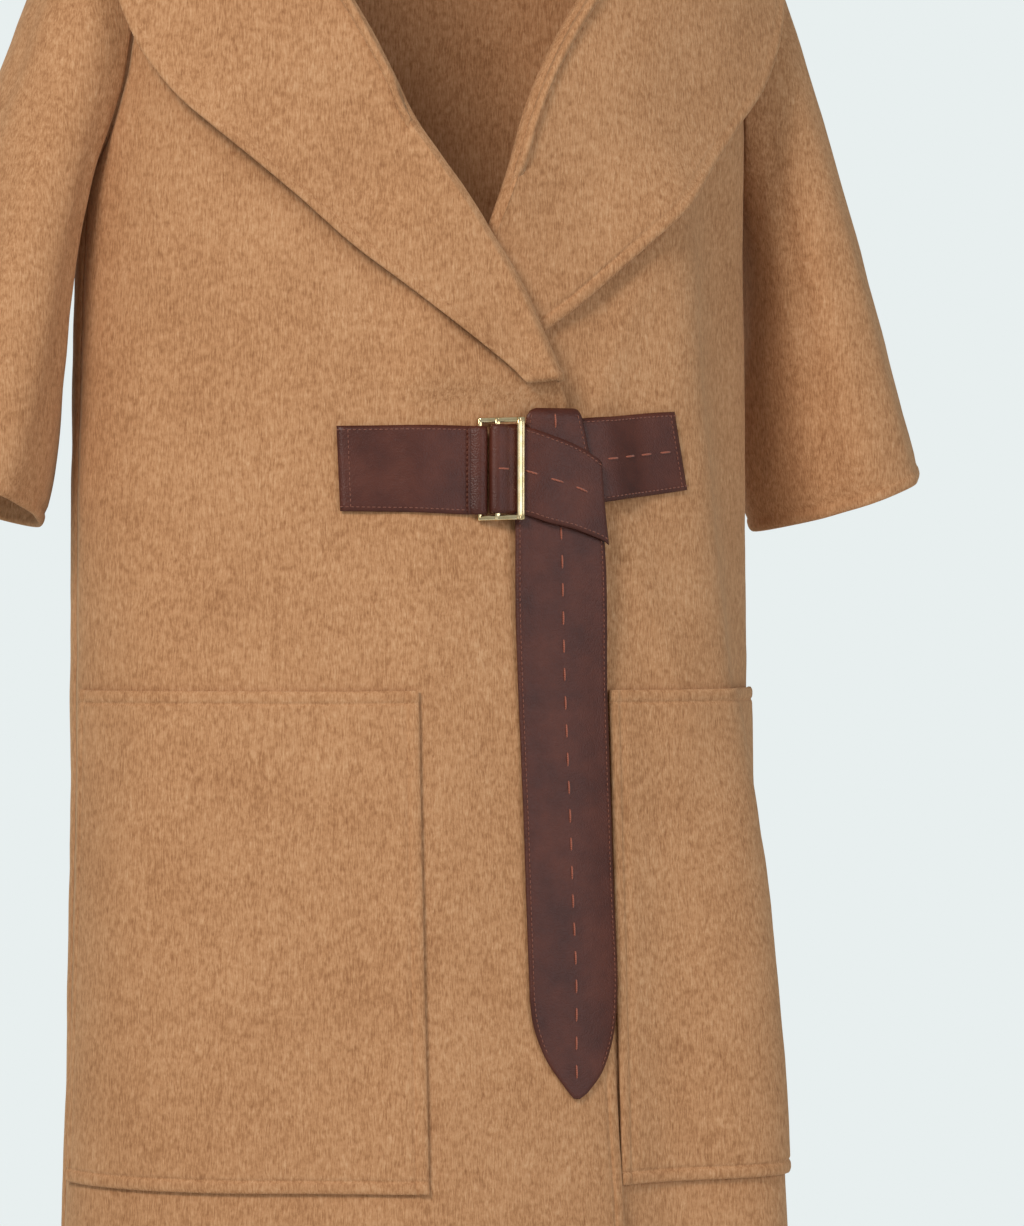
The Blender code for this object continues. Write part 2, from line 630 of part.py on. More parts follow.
def make_sleeve(side, name, cloth):
    """A wide half sleeve. Its rows run from the armhole's ring down to the hem's."""
    turns = [360.0 * i / (2 * ARMHOLE_STEPS) for i in range(2 * ARMHOLE_STEPS)]
    grid = []
    for r in range(SLEEVE_ROWS):
        t = r / (SLEEVE_ROWS - 1)
        row = []
        for turn in turns:
            top = 0.5 + 0.5 * cos(radians(turn))
            start, end = sleeve_start(side, turn), sleeve_end(turn)
            reach = SLEEVE_UNDERARM_REACH + (SLEEVE_CAP_REACH - SLEEVE_UNDERARM_REACH) * top
            leave = SLEEVE_AXIS.lerp(SLEEVE_CAP_AXIS, top).normalized() * reach
            arrive = SLEEVE_AXIS * SLEEVE_HEM_REACH
            row.append(
                start * (2 * t**3 - 3 * t**2 + 1) + leave * (t**3 - 2 * t**2 + t)
                + end * (3 * t**2 - 2 * t**3) + arrive * (t**3 - t**2)
            )
        grid.append(row)
    grid.reverse()
    grid = [[own_side(side, point) for point in row] for row in grid]
    grid = [row[::-1] for row in grid] if side == LEFT else grid
    return wall(name, grid, moved(grid, -CLOTH, ring=True), cloth, ring=True)


# Where the collar's columns lie between its section's six points: start, waist, crest, brow, middle, edge.
COLLAR_STOPS = (0.0, 1.0, 1.6, 2.0, 3.0, 3.5, 4.0, 4.5, 5.0)


def through(points, stops):
    """A smooth curve through points, read at stops; a stop of 1.5 is half way from point 1 to point 2."""
    rows = [table("place x y z", (float(place), *point))[0] for place, point in enumerate(points)]
    return [Vector([read(rows, axis, stop, key="place") for axis in ("x", "y", "z")]) for stop in stops]


def collar_section(side, azimuth, level, upright, row):
    """The collar's section: off the cloth's edge, over the roll and down to the outer edge."""
    out = body_out(side * azimuth, level)
    rise = (out * (1.0 - upright) + Vector((0.0, 0.0, 1.0)) * upright).normalized()
    edge = front(side, azimuth, level) if azimuth < 90.0 else body(side * azimuth, level)
    outer = front(side, row.outer_azimuth, row.outer_level, row.outer_lift)
    middle_azimuth = (azimuth + row.outer_azimuth) / 2.0
    middle = front(side, middle_azimuth, (level + row.outer_level) / 2.0, row.middle_lift)
    towards = middle - edge
    towards = (towards - rise * towards.dot(rise)).normalized()
    start = edge + rise * COLLAR_START * (1.0 + 1.5 * upright) - towards * CLOTH * upright
    lean = min(COLLAR_LEAN + COLLAR_LEAN_UPRIGHT * upright, (outer - start).length * 0.25)
    waist = start + rise * (row.rise * 0.5) - towards * COLLAR_UNDERCUT
    crest = start + rise * row.rise + towards * lean
    brow = start + rise * (row.rise * COLLAR_BROW_RISE) + towards * lean * COLLAR_BROW_LEAN
    return through([start, waist, crest, brow, middle, outer], COLLAR_STOPS)


def make_collar(side, name, cloth):
    """Half of the shawl collar, up to the seam at the back centre."""
    grid = [
        collar_section(side, read(EDGE_ROWS[side], "azimuth", row.level), row.level, row.upright, row)
        for row in COLLAR_FRONT[side]
    ]
    grid += [collar_section(side, row.azimuth, 0.0, 1.0, row) for row in COLLAR_NECK]
    grid = outward_order(side, grid)
    inner = moved(grid, -CLOTH)
    for layer in (grid, inner):
        for point in layer[-1]:
            point.x = side * SEAM / 2.0
    return wall(name, grid, inner, cloth)


BAND_COLUMNS = 4


def make_band(name, rows, leather, on_right_front=False):
    """A leather band: rows run along it, columns across it, and its two faces lie half a thickness each way."""
    grid = []
    for row in rows:
        line = []
        for share in even(0.0, 1.0, BAND_COLUMNS):
            across = row.upper_across + (row.lower_across - row.upper_across) * share
            height = row.upper_height + (row.lower_height - row.upper_height) * share
            azimuth = azimuth_at(across, height)
            under = lap_lift(RIGHT, -azimuth, height) if on_right_front else 0.0
            lift = row.upper_lift + (row.lower_lift - row.upper_lift) * share
            line.append(body(azimuth, height, under + lift))
        grid.append(line)
    return wall(name, moved(grid, LEATHER / 2.0), moved(grid, -LEATHER / 2.0), leather)


def make_buckle(name, metal):
    """The buckle: three upright bars between two rails that climb to the front bar."""
    lines = [value for bar in BUCKLE_BARS for value in (bar.start, bar.end)]
    heights = [BUCKLE_BOTTOM, BUCKLE_BOTTOM + BUCKLE_RAIL, BUCKLE_TOP - BUCKLE_RAIL, BUCKLE_TOP]
    faces = {}
    for side in ("low", "high"):
        grid = []
        for height in heights:
            line = []
            for i, across in enumerate(lines):
                shifted = across + BUCKLE_TILT * (height - BUCKLE_TOP)
                line.append(body(azimuth_at(shifted, height), height, getattr(BUCKLE_BARS[i // 2], side)))
            grid.append(line)
        faces[side] = grid
    cells = [[True] * 5, [True, False, True, False, True], [True] * 5]
    return wall(name, faces["high"], faces["low"], metal, cells=cells)


def build():
    """Clear the scene and make every piece."""
    for item in list(bpy.data.objects):
        bpy.data.objects.remove(item, do_unlink=True)
    cloth = material("camel wool", (0.50, 0.32, 0.17), 0.95)
    leather = material("brown leather", (0.11, 0.035, 0.024), 0.45)
    metal = material("pale gold", (0.86, 0.68, 0.40), 0.22, 1.0)
    make_front(RIGHT, "front_right", cloth)
    make_front(LEFT, "front_left", cloth)
    make_back("back", cloth)
    make_sleeve(RIGHT, "sleeve_right", cloth)
    make_sleeve(LEFT, "sleeve_left", cloth)
    make_collar(RIGHT, "collar_right", cloth)
    make_collar(LEFT, "collar_left", cloth)
    make_pocket(RIGHT, "pocket_right", cloth)
    make_pocket(LEFT, "pocket_left", cloth)
    make_band("tab", TAB, leather, on_right_front=True)
    make_band("strap_base", STRAP_BASE, leather)
    make_band("strap_wrap", STRAP_WRAP, leather)
    make_band("strap_tail", STRAP_TAIL, leather)
    make_buckle("buckle", metal)


build()
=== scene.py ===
# Wool cape: a worn, hollow, belted half-sleeve coat of camel wool, with a leather strap and a gold buckle.
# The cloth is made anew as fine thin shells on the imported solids' own form, from the same sizes in metres.
from collections import namedtuple
from math import cos, degrees, exp, pi, radians, sin

import bpy
import numpy as np
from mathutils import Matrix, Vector, noise


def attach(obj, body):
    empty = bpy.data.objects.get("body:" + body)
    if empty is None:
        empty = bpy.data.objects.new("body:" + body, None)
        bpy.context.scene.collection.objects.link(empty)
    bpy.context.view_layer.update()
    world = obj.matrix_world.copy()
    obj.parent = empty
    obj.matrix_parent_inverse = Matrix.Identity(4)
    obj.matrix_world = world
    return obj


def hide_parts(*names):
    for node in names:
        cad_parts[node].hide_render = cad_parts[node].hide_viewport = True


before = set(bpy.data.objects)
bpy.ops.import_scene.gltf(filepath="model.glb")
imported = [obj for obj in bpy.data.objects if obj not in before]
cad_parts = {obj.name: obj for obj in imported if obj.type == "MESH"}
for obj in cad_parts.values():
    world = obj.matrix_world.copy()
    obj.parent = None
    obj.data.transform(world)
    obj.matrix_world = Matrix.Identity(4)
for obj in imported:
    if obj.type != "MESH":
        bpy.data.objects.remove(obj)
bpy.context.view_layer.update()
bpy.ops.object.select_all(action="DESELECT")
print("frame loaded")

# Camera: 20 degrees to the wearer's right of the front, level and 3 m away, framed as the photo is
cameraSet = {
    "azimuth": -20.0, "distance": 3.0, "sideways": 0.051, "height": -0.527,
    "lens": 149.75, "sensor": 36.0,
}
towards = Vector((sin(radians(cameraSet["azimuth"])), -cos(radians(cameraSet["azimuth"])), 0.0))
rightward = Vector((-towards.y, towards.x, 0.0))
place = towards * cameraSet["distance"] + rightward * cameraSet["sideways"]
place.z = cameraSet["height"]
bpy.ops.object.camera_add(location=place, rotation=(radians(90.0), 0.0, radians(cameraSet["azimuth"])))
camera = bpy.context.object
camera.data.sensor_fit = "VERTICAL"
camera.data.sensor_height = cameraSet["sensor"]
camera.data.lens = cameraSet["lens"]
bpy.context.scene.camera = camera
bpy.context.scene.view_settings.view_transform = "Standard"


def linear(hexColour):
    # sRGB hex to the linear colour that nodes take
    values = [int(hexColour[i:i + 2], 16) / 255.0 for i in (1, 3, 5)]
    return tuple(v / 12.92 if v <= 0.04045 else ((v + 0.055) / 1.055) ** 2.4 for v in values) + (1.0,)


def addNode(tree, kind, settings=None, links=None, values=None):
    # One node with its settings, its input values and its links, given as input: (node, output)
    node = tree.nodes.new(kind)
    for key, value in (settings or {}).items():
        setattr(node, key, value)
    for key, value in (values or {}).items():
        node.inputs[key].default_value = value
    for key, (other, output) in (links or {}).items():
        tree.links.new(other.outputs[output], node.inputs[key])
    return node


def newMaterial(name, values):
    # A Principled material with its constant values on the shader's own sockets
    made = bpy.data.materials.new(name)
    made.use_nodes = True
    shader = made.node_tree.nodes["Principled BSDF"]
    for key, value in values.items():
        shader.inputs[key].default_value = value
    return made, made.node_tree, shader


def fillRamp(node, stops):
    # Colour stops on a ramp: place and hex colour
    while len(node.color_ramp.elements) < len(stops):
        node.color_ramp.elements.new(0.5)
    for element, (position, colour) in zip(node.color_ramp.elements, stops):
        element.position = position
        element.color = linear(colour)


# Double-faced camel wool, woven, fulled and brushed: a soft nap with fibres that lie mostly down the cloth
woolSet = {
    "fibreWidth": 0.0008, "fibreLength": 0.0055, "wander": (3.4, 3.4, 0.6),
    "blotch": 0.05, "tuftShare": 0.38, "blotchShare": 0.14, "relief": 0.0009,
}
wool, tree, shader = newMaterial("brushedWool", {
    "Roughness": 0.92, "Specular IOR Level": 0.18, "Sheen Weight": 0.35, "Sheen Roughness": 0.45,
    "Sheen Tint": linear("#E8C9A0"),
})
coords = addNode(tree, "ShaderNodeTexCoord")
streaks = addNode(tree, "ShaderNodeMapping", links={"Vector": (coords, "Object")}, values={
    "Scale": (1 / woolSet["fibreWidth"], 1 / woolSet["fibreWidth"], 1 / woolSet["fibreLength"]),
    "Rotation": (0.06, 0.05, 0.0),
})
wander = addNode(tree, "ShaderNodeTexNoise", links={"Vector": (coords, "Object")}, values={
    "Scale": 45.0, "Detail": 2.0})
bent = addNode(tree, "ShaderNodeVectorMath", {"operation": "MULTIPLY_ADD"}, {
    "Vector": (wander, "Color")}, {"Vector_001": woolSet["wander"]})
tree.links.new(streaks.outputs["Vector"], bent.inputs["Vector_002"])
fibres = addNode(tree, "ShaderNodeTexNoise", links={"Vector": (bent, "Vector")}, values={
    "Scale": 1.0, "Detail": 4.0, "Roughness": 0.62})
tufts = addNode(tree, "ShaderNodeTexNoise", links={"Vector": (coords, "Object")}, values={
    "Scale": 260.0, "Detail": 3.0, "Roughness": 0.6})
blotches = addNode(tree, "ShaderNodeTexNoise", links={"Vector": (coords, "Object")}, values={
    "Scale": 1 / woolSet["blotch"], "Detail": 3.0, "Roughness": 0.55})
nap = addNode(tree, "ShaderNodeMix", {"data_type": "FLOAT"}, {
    "A": (fibres, "Fac"), "B": (tufts, "Fac")}, {"Factor": woolSet["tuftShare"]})
clouded = addNode(tree, "ShaderNodeMix", {"data_type": "FLOAT"}, {
    "A": (nap, "Result"), "B": (blotches, "Fac")}, {"Factor": woolSet["blotchShare"]})
napColours = addNode(tree, "ShaderNodeValToRGB", links={"Fac": (clouded, "Result")})
fillRamp(napColours, [
    (0.33, "#906140"), (0.43, "#A67650"), (0.51, "#B8875F"), (0.59, "#C4956D"), (0.70, "#D0A57F"),
])
tree.links.new(napColours.outputs["Color"], shader.inputs["Base Color"])
napRelief = addNode(tree, "ShaderNodeBump", links={"Height": (nap, "Result")}, values={
    "Strength": 0.6, "Distance": woolSet["relief"]})
tree.links.new(napRelief.outputs["Normal"], shader.inputs["Normal"])

# Vegetable-tanned cowhide, dyed brown and lightly waxed: a fine pebbled grain with a soft sheen
leatherSet = {"pebble": 0.0010, "relief": 0.0004}
leather, tree, shader = newMaterial("pebbledCowhide", {
    "Roughness": 0.46, "Specular IOR Level": 0.32, "Coat Weight": 0.06, "Coat Roughness": 0.4})
coords = addNode(tree, "ShaderNodeTexCoord")
pebbles = addNode(tree, "ShaderNodeTexVoronoi", {"feature": "F1"}, {"Vector": (coords, "Object")}, {
    "Scale": 1 / leatherSet["pebble"], "Randomness": 0.9})
dye = addNode(tree, "ShaderNodeTexNoise", links={"Vector": (coords, "Object")}, values={
    "Scale": 38.0, "Detail": 5.0, "Roughness": 0.6})
dyeColours = addNode(tree, "ShaderNodeValToRGB", links={"Fac": (dye, "Fac")})
fillRamp(dyeColours, [(0.30, "#3F190F"), (0.50, "#4D2216"), (0.72, "#5B2C1E")])
tree.links.new(dyeColours.outputs["Color"], shader.inputs["Base Color"])
shine = addNode(tree, "ShaderNodeMapRange", links={"Value": (dye, "Fac")}, values={
    "To Min": 0.36, "To Max": 0.50})
tree.links.new(shine.outputs["Result"], shader.inputs["Roughness"])
grain = addNode(tree, "ShaderNodeBump", {"invert": True}, {"Height": (pebbles, "Distance")}, {
    "Strength": 0.5, "Distance": leatherSet["relief"]})
tree.links.new(grain.outputs["Normal"], shader.inputs["Normal"])

# Cast zinc alloy, polished and plated pale gold: bright, with the faint waviness of polishing
gold, tree, shader = newMaterial("platedPaleGold", {"Metallic": 1.0, "Roughness": 0.17})
coords = addNode(tree, "ShaderNodeTexCoord")
polish = addNode(tree, "ShaderNodeTexNoise", links={"Vector": (coords, "Object")}, values={
    "Scale": 240.0, "Detail": 3.0})
tint = addNode(tree, "ShaderNodeValToRGB", links={"Fac": (polish, "Fac")})
fillRamp(tint, [(0.35, "#D9BE8C"), (0.65, "#EBD6AC")])
tree.links.new(tint.outputs["Color"], shader.inputs["Base Color"])
wave = addNode(tree, "ShaderNodeBump", links={"Height": (polish, "Fac")}, values={
    "Strength": 0.15, "Distance": 0.0002})
tree.links.new(wave.outputs["Normal"], shader.inputs["Normal"])


def threadMaterial(name, light, dark, turns):
    # Bonded polyester thread, twisted and waxed: slightly shiny, with a ply that shows as fine turns
    made, tree, shader = newMaterial(name, {"Roughness": 0.55, "Sheen Weight": 0.2})
    coords = addNode(tree, "ShaderNodeTexCoord")
    ply = addNode(tree, "ShaderNodeTexWave", {"bands_direction": "DIAGONAL"}, {
        "Vector": (coords, "Object")}, {"Scale": turns, "Distortion": 0.6})
    colours = addNode(tree, "ShaderNodeValToRGB", links={"Fac": (ply, "Color")})
    fillRamp(colours, [(0.2, dark), (0.8, light)])
    tree.links.new(colours.outputs["Color"], shader.inputs["Base Color"])
    return made


edgeThread = threadMaterial("waxedEdgeThread", "#8C4F38", "#6B3826", 700.0)
heavyThread = threadMaterial("waxedHeavyThread", "#A85A3F", "#7E3F2B", 500.0)
print("materials made")

# The sizes and short tables that the solids were made from, in metres and degrees
clothThickness = 0.003
leatherThickness = 0.002
seamGap = 0.0004
bodySquareness = 2.2
hemLevel = -1.020
pocketTop, pocketBottom = -0.571, -0.851
pocketOuter = 86.0
armholeTop, armholeBottom = -0.045, -0.270
armholeFrontDip, armholeBackDip = 10.0, 16.0
sleeveHem = Vector((0.2765, 0.030, -0.4580))
sleeveHalfWidth, sleeveHalfDepth = 0.0500, 0.0750
sleeveHemRise = 0.38
sleeveAxis = Vector((0.32, 0.04, -0.95)).normalized()
sleeveCapAxis = Vector((0.72, 0.0, -0.70))
sleeveCapReach, sleeveUnderarmReach, sleeveHemReach = 0.20, 0.26, 0.22
lapRaise = 0.004
lapOuter, lapInner = 46.0, 20.0
bulgeLift = 0.006
bulgeStart, bulgeFull, bulgeFade, bulgeEnd = -0.414, -0.393, -0.285, -0.245
bulgeOuter, bulgeInner = 34.0, 15.0
collarStart = 0.0009
collarUndercut = 0.0015
collarLean, collarLeanUpright = 0.0035, 0.0020
collarBrowRise, collarBrowLean = 0.93, 2.3

rightSide, leftSide = -1, 1


def table(names, *rows):
    # A short table: one named record for each row.
    rowType = namedtuple("Row", names)
    return [rowType(*row) for row in rows]


# The body's level rings. Half width is at the side seams, the depths are at the front and back centre,
# and a shift tips the ring at the front or back centre, so that the upper rings lie on the shoulders.
bodyRings = table(
    "level frontShift backShift halfWidth frontDepth backDepth",
    (-1.020, 0.000, 0.000, 0.210, 0.166, 0.146),
    (-0.830, 0.000, 0.000, 0.203, 0.152, 0.136),
    (-0.700, 0.000, 0.000, 0.200, 0.141, 0.130),
    (-0.566, 0.000, 0.000, 0.199, 0.130, 0.124),
    (-0.410, 0.000, 0.000, 0.198, 0.117, 0.119),
    (-0.300, 0.000, 0.000, 0.196, 0.112, 0.118),
    (-0.225, 0.000, 0.000, 0.195, 0.109, 0.117),
    (-0.160, -0.014, -0.004, 0.190, 0.104, 0.115),
    (-0.100, -0.034, -0.014, 0.182, 0.096, 0.110),
    (-0.045, -0.056, -0.024, 0.168, 0.083, 0.102),
    (-0.020, -0.064, -0.014, 0.125, 0.066, 0.088),
    (0.000, -0.070, 0.008, 0.078, 0.050, 0.071),
)

# The largest folds, ridges (height above 0) and troughs (below 0) that run down the body, as level, azimuth,
# height and width. Azimuths here are from the front centre, positive to the wearer's left.
foldTables = {
    "left front ridge": (
        (-0.200, 44.0, 0.000, 8.0), (-0.300, 50.0, 0.006, 8.0), (-0.566, 59.0, 0.005, 8.0),
        (-0.704, 57.0, 0.018, 8.5), (-0.824, 55.0, 0.025, 9.0), (-1.020, 53.0, 0.028, 9.0),
    ),
    "left side valley": (
        (-0.220, 66.0, 0.000, 6.0), (-0.320, 68.0, -0.012, 7.0), (-0.566, 72.0, -0.012, 6.0),
        (-0.700, 72.0, -0.008, 6.0), (-1.020, 72.0, -0.012, 7.0),
    ),
    "left front trough": (
        (-0.460, 36.0, 0.000, 7.0), (-0.600, 37.0, -0.003, 7.0), (-0.800, 37.0, -0.006, 7.0),
        (-1.020, 36.0, -0.009, 7.0),
    ),
    "right front trough": (
        (-0.200, -80.0, -0.004, 9.0), (-0.460, -66.0, -0.007, 9.0), (-0.560, -57.0, -0.008, 10.0),
        (-0.830, -43.0, -0.008, 10.0), (-1.020, -40.0, -0.012, 9.0),
    ),
    "right side swell": (
        (-0.220, -92.0, 0.004, 16.0), (-0.300, -92.0, 0.012, 16.0), (-0.600, -88.0, 0.014, 16.0),
        (-1.020, -80.0, 0.018, 14.0),
    ),
    "right back trough": (
        (-0.300, -142.0, 0.000, 9.0), (-0.600, -140.0, -0.010, 9.0), (-1.020, -134.0, -0.016, 8.0),
    ),
    "back ridge": (
        (-0.280, 176.0, 0.000, 9.0), (-0.600, 172.0, 0.008, 10.0), (-1.020, 168.0, 0.014, 10.0),
    ),
    "left back trough": (
        (-0.320, 138.0, 0.000, 8.0), (-0.640, 136.0, -0.012, 8.0), (-1.020, 132.0, -0.018, 8.0),
    ),
}

# Creases too slight for the solids: soft troughs and ridges, uneven in length, depth and spacing
creaseTables = {
    "right front hollow": (
        (-0.620, -28.0, -0.0010, 3.4), (-0.760, -30.5, -0.0026, 3.8), (-1.020, -31.0, -0.0040, 4.2),
    ),
    "right front soft ridge": (
        (-0.300, -49.0, 0.0000, 4.0), (-0.440, -46.0, 0.0016, 4.6), (-0.620, -51.0, 0.0022, 5.0),
        (-1.020, -56.0, 0.0010, 5.0),
    ),
    "right hip drag": (
        (-0.440, -73.0, 0.0010, 3.0), (-0.570, -70.0, 0.0024, 3.4), (-0.700, -74.0, 0.0012, 3.6),
        (-0.900, -72.0, -0.0014, 3.8),
    ),
    "left front hollow": (
        (-0.470, 24.0, 0.0000, 3.4), (-0.610, 25.5, -0.0012, 3.6), (-0.840, 26.0, -0.0016, 3.8),
        (-1.020, 25.0, -0.0026, 4.0),
    ),
    "left belt drag": (
        (-0.400, 30.0, 0.0000, 2.6), (-0.470, 33.0, 0.0022, 3.0), (-0.560, 45.0, 0.0016, 3.4),
        (-0.640, 47.0, 0.0000, 3.4),
    ),
    "left chest drag": (
        (-0.260, 58.0, 0.0000, 2.6), (-0.330, 43.0, 0.0020, 3.0), (-0.400, 32.0, 0.0014, 2.6),
        (-0.440, 28.0, 0.0000, 2.6),
    ),
    "left side crease": (
        (-0.300, 62.0, 0.0000, 2.4), (-0.380, 61.5, -0.0018, 2.6), (-0.520, 64.0, -0.0024, 2.8),
        (-0.700, 64.5, 0.0000, 2.8),
    ),
    "back left crease": (
        (-0.340, 156.0, 0.0000, 4.0), (-0.520, 154.0, -0.0030, 4.4), (-0.820, 151.0, -0.0042, 4.6),
        (-1.020, 150.0, -0.0050, 4.6),
    ),
    "back right crease": (
        (-0.250, -163.0, 0.0000, 3.6), (-0.450, -160.0, -0.0028, 4.2), (-0.700, -158.0, -0.0034, 4.8),
        (-1.020, -155.0, -0.0052, 4.8),
    ),
    "back right ridge": (
        (-0.380, -121.0, 0.0000, 4.0), (-0.560, -118.0, 0.0026, 4.4), (-1.020, -114.0, 0.0046, 5.2),
    ),
    "back left ridge": (
        (-0.420, 113.0, 0.0000, 3.8), (-0.640, 115.0, 0.0030, 4.6), (-1.020, 116.0, 0.0048, 5.0),
    ),
    "left shoulder blade": (
        (-0.120, 128.0, 0.0000, 4.4), (-0.200, 131.0, -0.0022, 4.8), (-0.310, 127.0, 0.0000, 4.2),
    ),
    "right shoulder blade": (
        (-0.100, -131.0, 0.0000, 4.6), (-0.210, -126.0, -0.0026, 4.4), (-0.340, -131.0, 0.0000, 4.0),
    ),
}

# The edge that each front has towards the other: the lap from the hem to the closure, then the roll line
# up to the neck, as level and own azimuth. The right front is on top, and both pass the front centre.
frontEdge = {
    rightSide: (
        (-1.020, -24.5), (-0.820, -24.3), (-0.571, -22.8), (-0.413, -21.5), (-0.393, -17.0),
        (-0.370, -12.2), (-0.341, -5.7), (-0.314, 2.4), (-0.287, 11.4), (-0.261, 20.0),
        (-0.237, 26.3), (-0.190, 36.0), (-0.145, 46.0), (-0.100, 57.0), (-0.060, 68.0),
        (-0.020, 79.0), (0.000, 84.0),
    ),
    leftSide: (
        (-1.020, -18.0), (-0.571, -19.5), (-0.420, -20.0), (-0.400, -18.0), (-0.370, -12.0),
        (-0.340, -6.0), (-0.313, -1.5), (-0.279, 5.2), (-0.236, 12.5), (-0.190, 23.0),
        (-0.145, 36.0), (-0.100, 50.0), (-0.060, 65.0), (-0.020, 79.0), (0.000, 84.0),
    ),
}

# The pocket's front edge on each front, in own azimuth at the pocket's top and bottom.
pocketInner = {
    rightSide: table("level azimuth", (pocketBottom, 18.5), (pocketTop, 21.0)),
    leftSide: table("level azimuth", (pocketBottom, 24.6), (pocketTop, 28.6)),
}

# The shawl collar's stations up each front, from the tip to the neck: the level where it leaves the front's
# edge, how much it stands upright there (0 rolls off the front, 1 stands on the neckline), how high it rolls,
# and where its outer edge lies, in own azimuth. Lifts are above the cloth under it.
collarFront = {
    rightSide: table(
        "level upright rise outerAzimuth outerLevel middleLift outerLift",
        (-0.396, 0.0, 0.0078, -7.5, -0.3980, 0.0068, 0.0064),
        (-0.370, 0.0, 0.0090, -1.8, -0.3870, 0.0070, 0.0064),
        (-0.341, 0.0, 0.0098, 12.7, -0.3640, 0.0072, 0.0074),
        (-0.314, 0.0, 0.0102, 26.1, -0.3410, 0.0072, 0.0084),
        (-0.292, 0.0, 0.0104, 38.0, -0.3190, 0.0072, 0.0092),
        (-0.270, 0.0, 0.0106, 48.4, -0.2930, 0.0074, 0.0104),
        (-0.2485, 0.0, 0.0110, 57.0, -0.2700, 0.0076, 0.0118),
        (-0.2236, 0.0, 0.0114, 63.5, -0.2515, 0.0080, 0.0132),
        (-0.1923, 0.0, 0.0120, 69.0, -0.2345, 0.0086, 0.0150),
        (-0.1575, 0.0, 0.0130, 74.5, -0.2070, 0.0096, 0.0180),
        (-0.1227, 0.0, 0.0145, 79.5, -0.1720, 0.0110, 0.0230),
        (-0.0914, 0.1, 0.0175, 85.0, -0.1300, 0.0140, 0.0270),
        (-0.0665, 0.2, 0.0210, 89.0, -0.1020, 0.0160, 0.0280),
        (-0.0505, 0.4, 0.0240, 92.0, -0.0880, 0.0180, 0.0270),
        (-0.0338, 0.6, 0.0270, 94.0, -0.0820, 0.0190, 0.0260),
        (-0.0225, 0.8, 0.0290, 95.5, -0.0790, 0.0200, 0.0250),
        (-0.0112, 0.9, 0.0320, 97.0, -0.0770, 0.0210, 0.0240),
    ),
    leftSide: table(
        "level upright rise outerAzimuth outerLevel middleLift outerLift",
        (-0.370, 0.0, 0.0050, -5.0, -0.3860, 0.0046, 0.0044),
        (-0.341, 0.0, 0.0052, 9.0, -0.3760, 0.0046, 0.0046),
        (-0.314, 0.0, 0.0058, 18.5, -0.3620, 0.0052, 0.0056),
        (-0.292, 0.0, 0.0094, 25.5, -0.3510, 0.0068, 0.0074),
        (-0.270, 0.0, 0.0104, 34.0, -0.3350, 0.0072, 0.0086),
        (-0.2485, 0.0, 0.0108, 42.5, -0.3160, 0.0076, 0.0096),
        (-0.2236, 0.0, 0.0112, 50.5, -0.2935, 0.0080, 0.0108),
        (-0.1923, 0.0, 0.0120, 59.0, -0.2680, 0.0086, 0.0124),
        (-0.1575, 0.0, 0.0130, 66.5, -0.2430, 0.0096, 0.0150),
        (-0.1227, 0.0, 0.0145, 74.5, -0.2120, 0.0110, 0.0210),
        (-0.0914, 0.1, 0.0175, 81.0, -0.1660, 0.0140, 0.0300),
        (-0.0665, 0.2, 0.0210, 87.0, -0.1220, 0.0170, 0.0330),
        (-0.0505, 0.4, 0.0240, 91.0, -0.0980, 0.0190, 0.0310),
        (-0.0338, 0.6, 0.0270, 94.0, -0.0860, 0.0190, 0.0280),
        (-0.0225, 0.8, 0.0290, 95.5, -0.0810, 0.0200, 0.0250),
        (-0.0112, 0.9, 0.0320, 97.0, -0.0770, 0.0210, 0.0240),
    ),
}

# The same collar's stations around the neckline, in own azimuth, up to the seam at the back centre.
collarNeck = table(
    "azimuth rise outerAzimuth outerLevel middleLift outerLift",
    (84.0, 0.0340, 99.0, -0.0750, 0.0210, 0.0230),
    (104.0, 0.0390, 112.0, -0.0740, 0.0210, 0.0180),
    (120.0, 0.0420, 124.0, -0.0760, 0.0200, 0.0130),
    (136.0, 0.0450, 138.0, -0.0800, 0.0190, 0.0100),
    (152.0, 0.0470, 153.0, -0.0830, 0.0180, 0.0085),
    (166.0, 0.0480, 166.5, -0.0850, 0.0180, 0.0080),
    (180.0, 0.0490, 180.0, -0.0860, 0.0180, 0.0080),
)

# Leather bands. A row gives the band's upper and lower edge (on the tail, its right and left edge as seen):
# across is the distance from the front centre towards the wearer's left, height is the true height, and lift
# is that of the band's middle layer, above the body's face or, for the tab, above the right front.
bandColumns = "upperAcross upperHeight lowerAcross lowerHeight upperLift lowerLift"
tabRows = table(
    bandColumns,
    (-0.0905, -0.4220, -0.0895, -0.4700, 0.0016, 0.0016),
    (-0.0690, -0.4218, -0.0690, -0.4704, 0.0016, 0.0016),
    (-0.0470, -0.4215, -0.0480, -0.4708, 0.0016, 0.0016),
    (-0.0320, -0.4215, -0.0335, -0.4714, 0.0016, 0.0016),
    (-0.0175, -0.4218, -0.0190, -0.4720, 0.0016, 0.0016),
    (-0.0150, -0.4219, -0.0165, -0.4721, 0.0027, 0.0027),
    (-0.0128, -0.4220, -0.0143, -0.4722, 0.0042, 0.0042),
    (-0.0100, -0.4221, -0.0115, -0.4723, 0.0050, 0.0050),
    (-0.0073, -0.4221, -0.0088, -0.4723, 0.0042, 0.0042),
    (-0.0063, -0.4221, -0.0078, -0.4723, 0.0024, 0.0024),
)
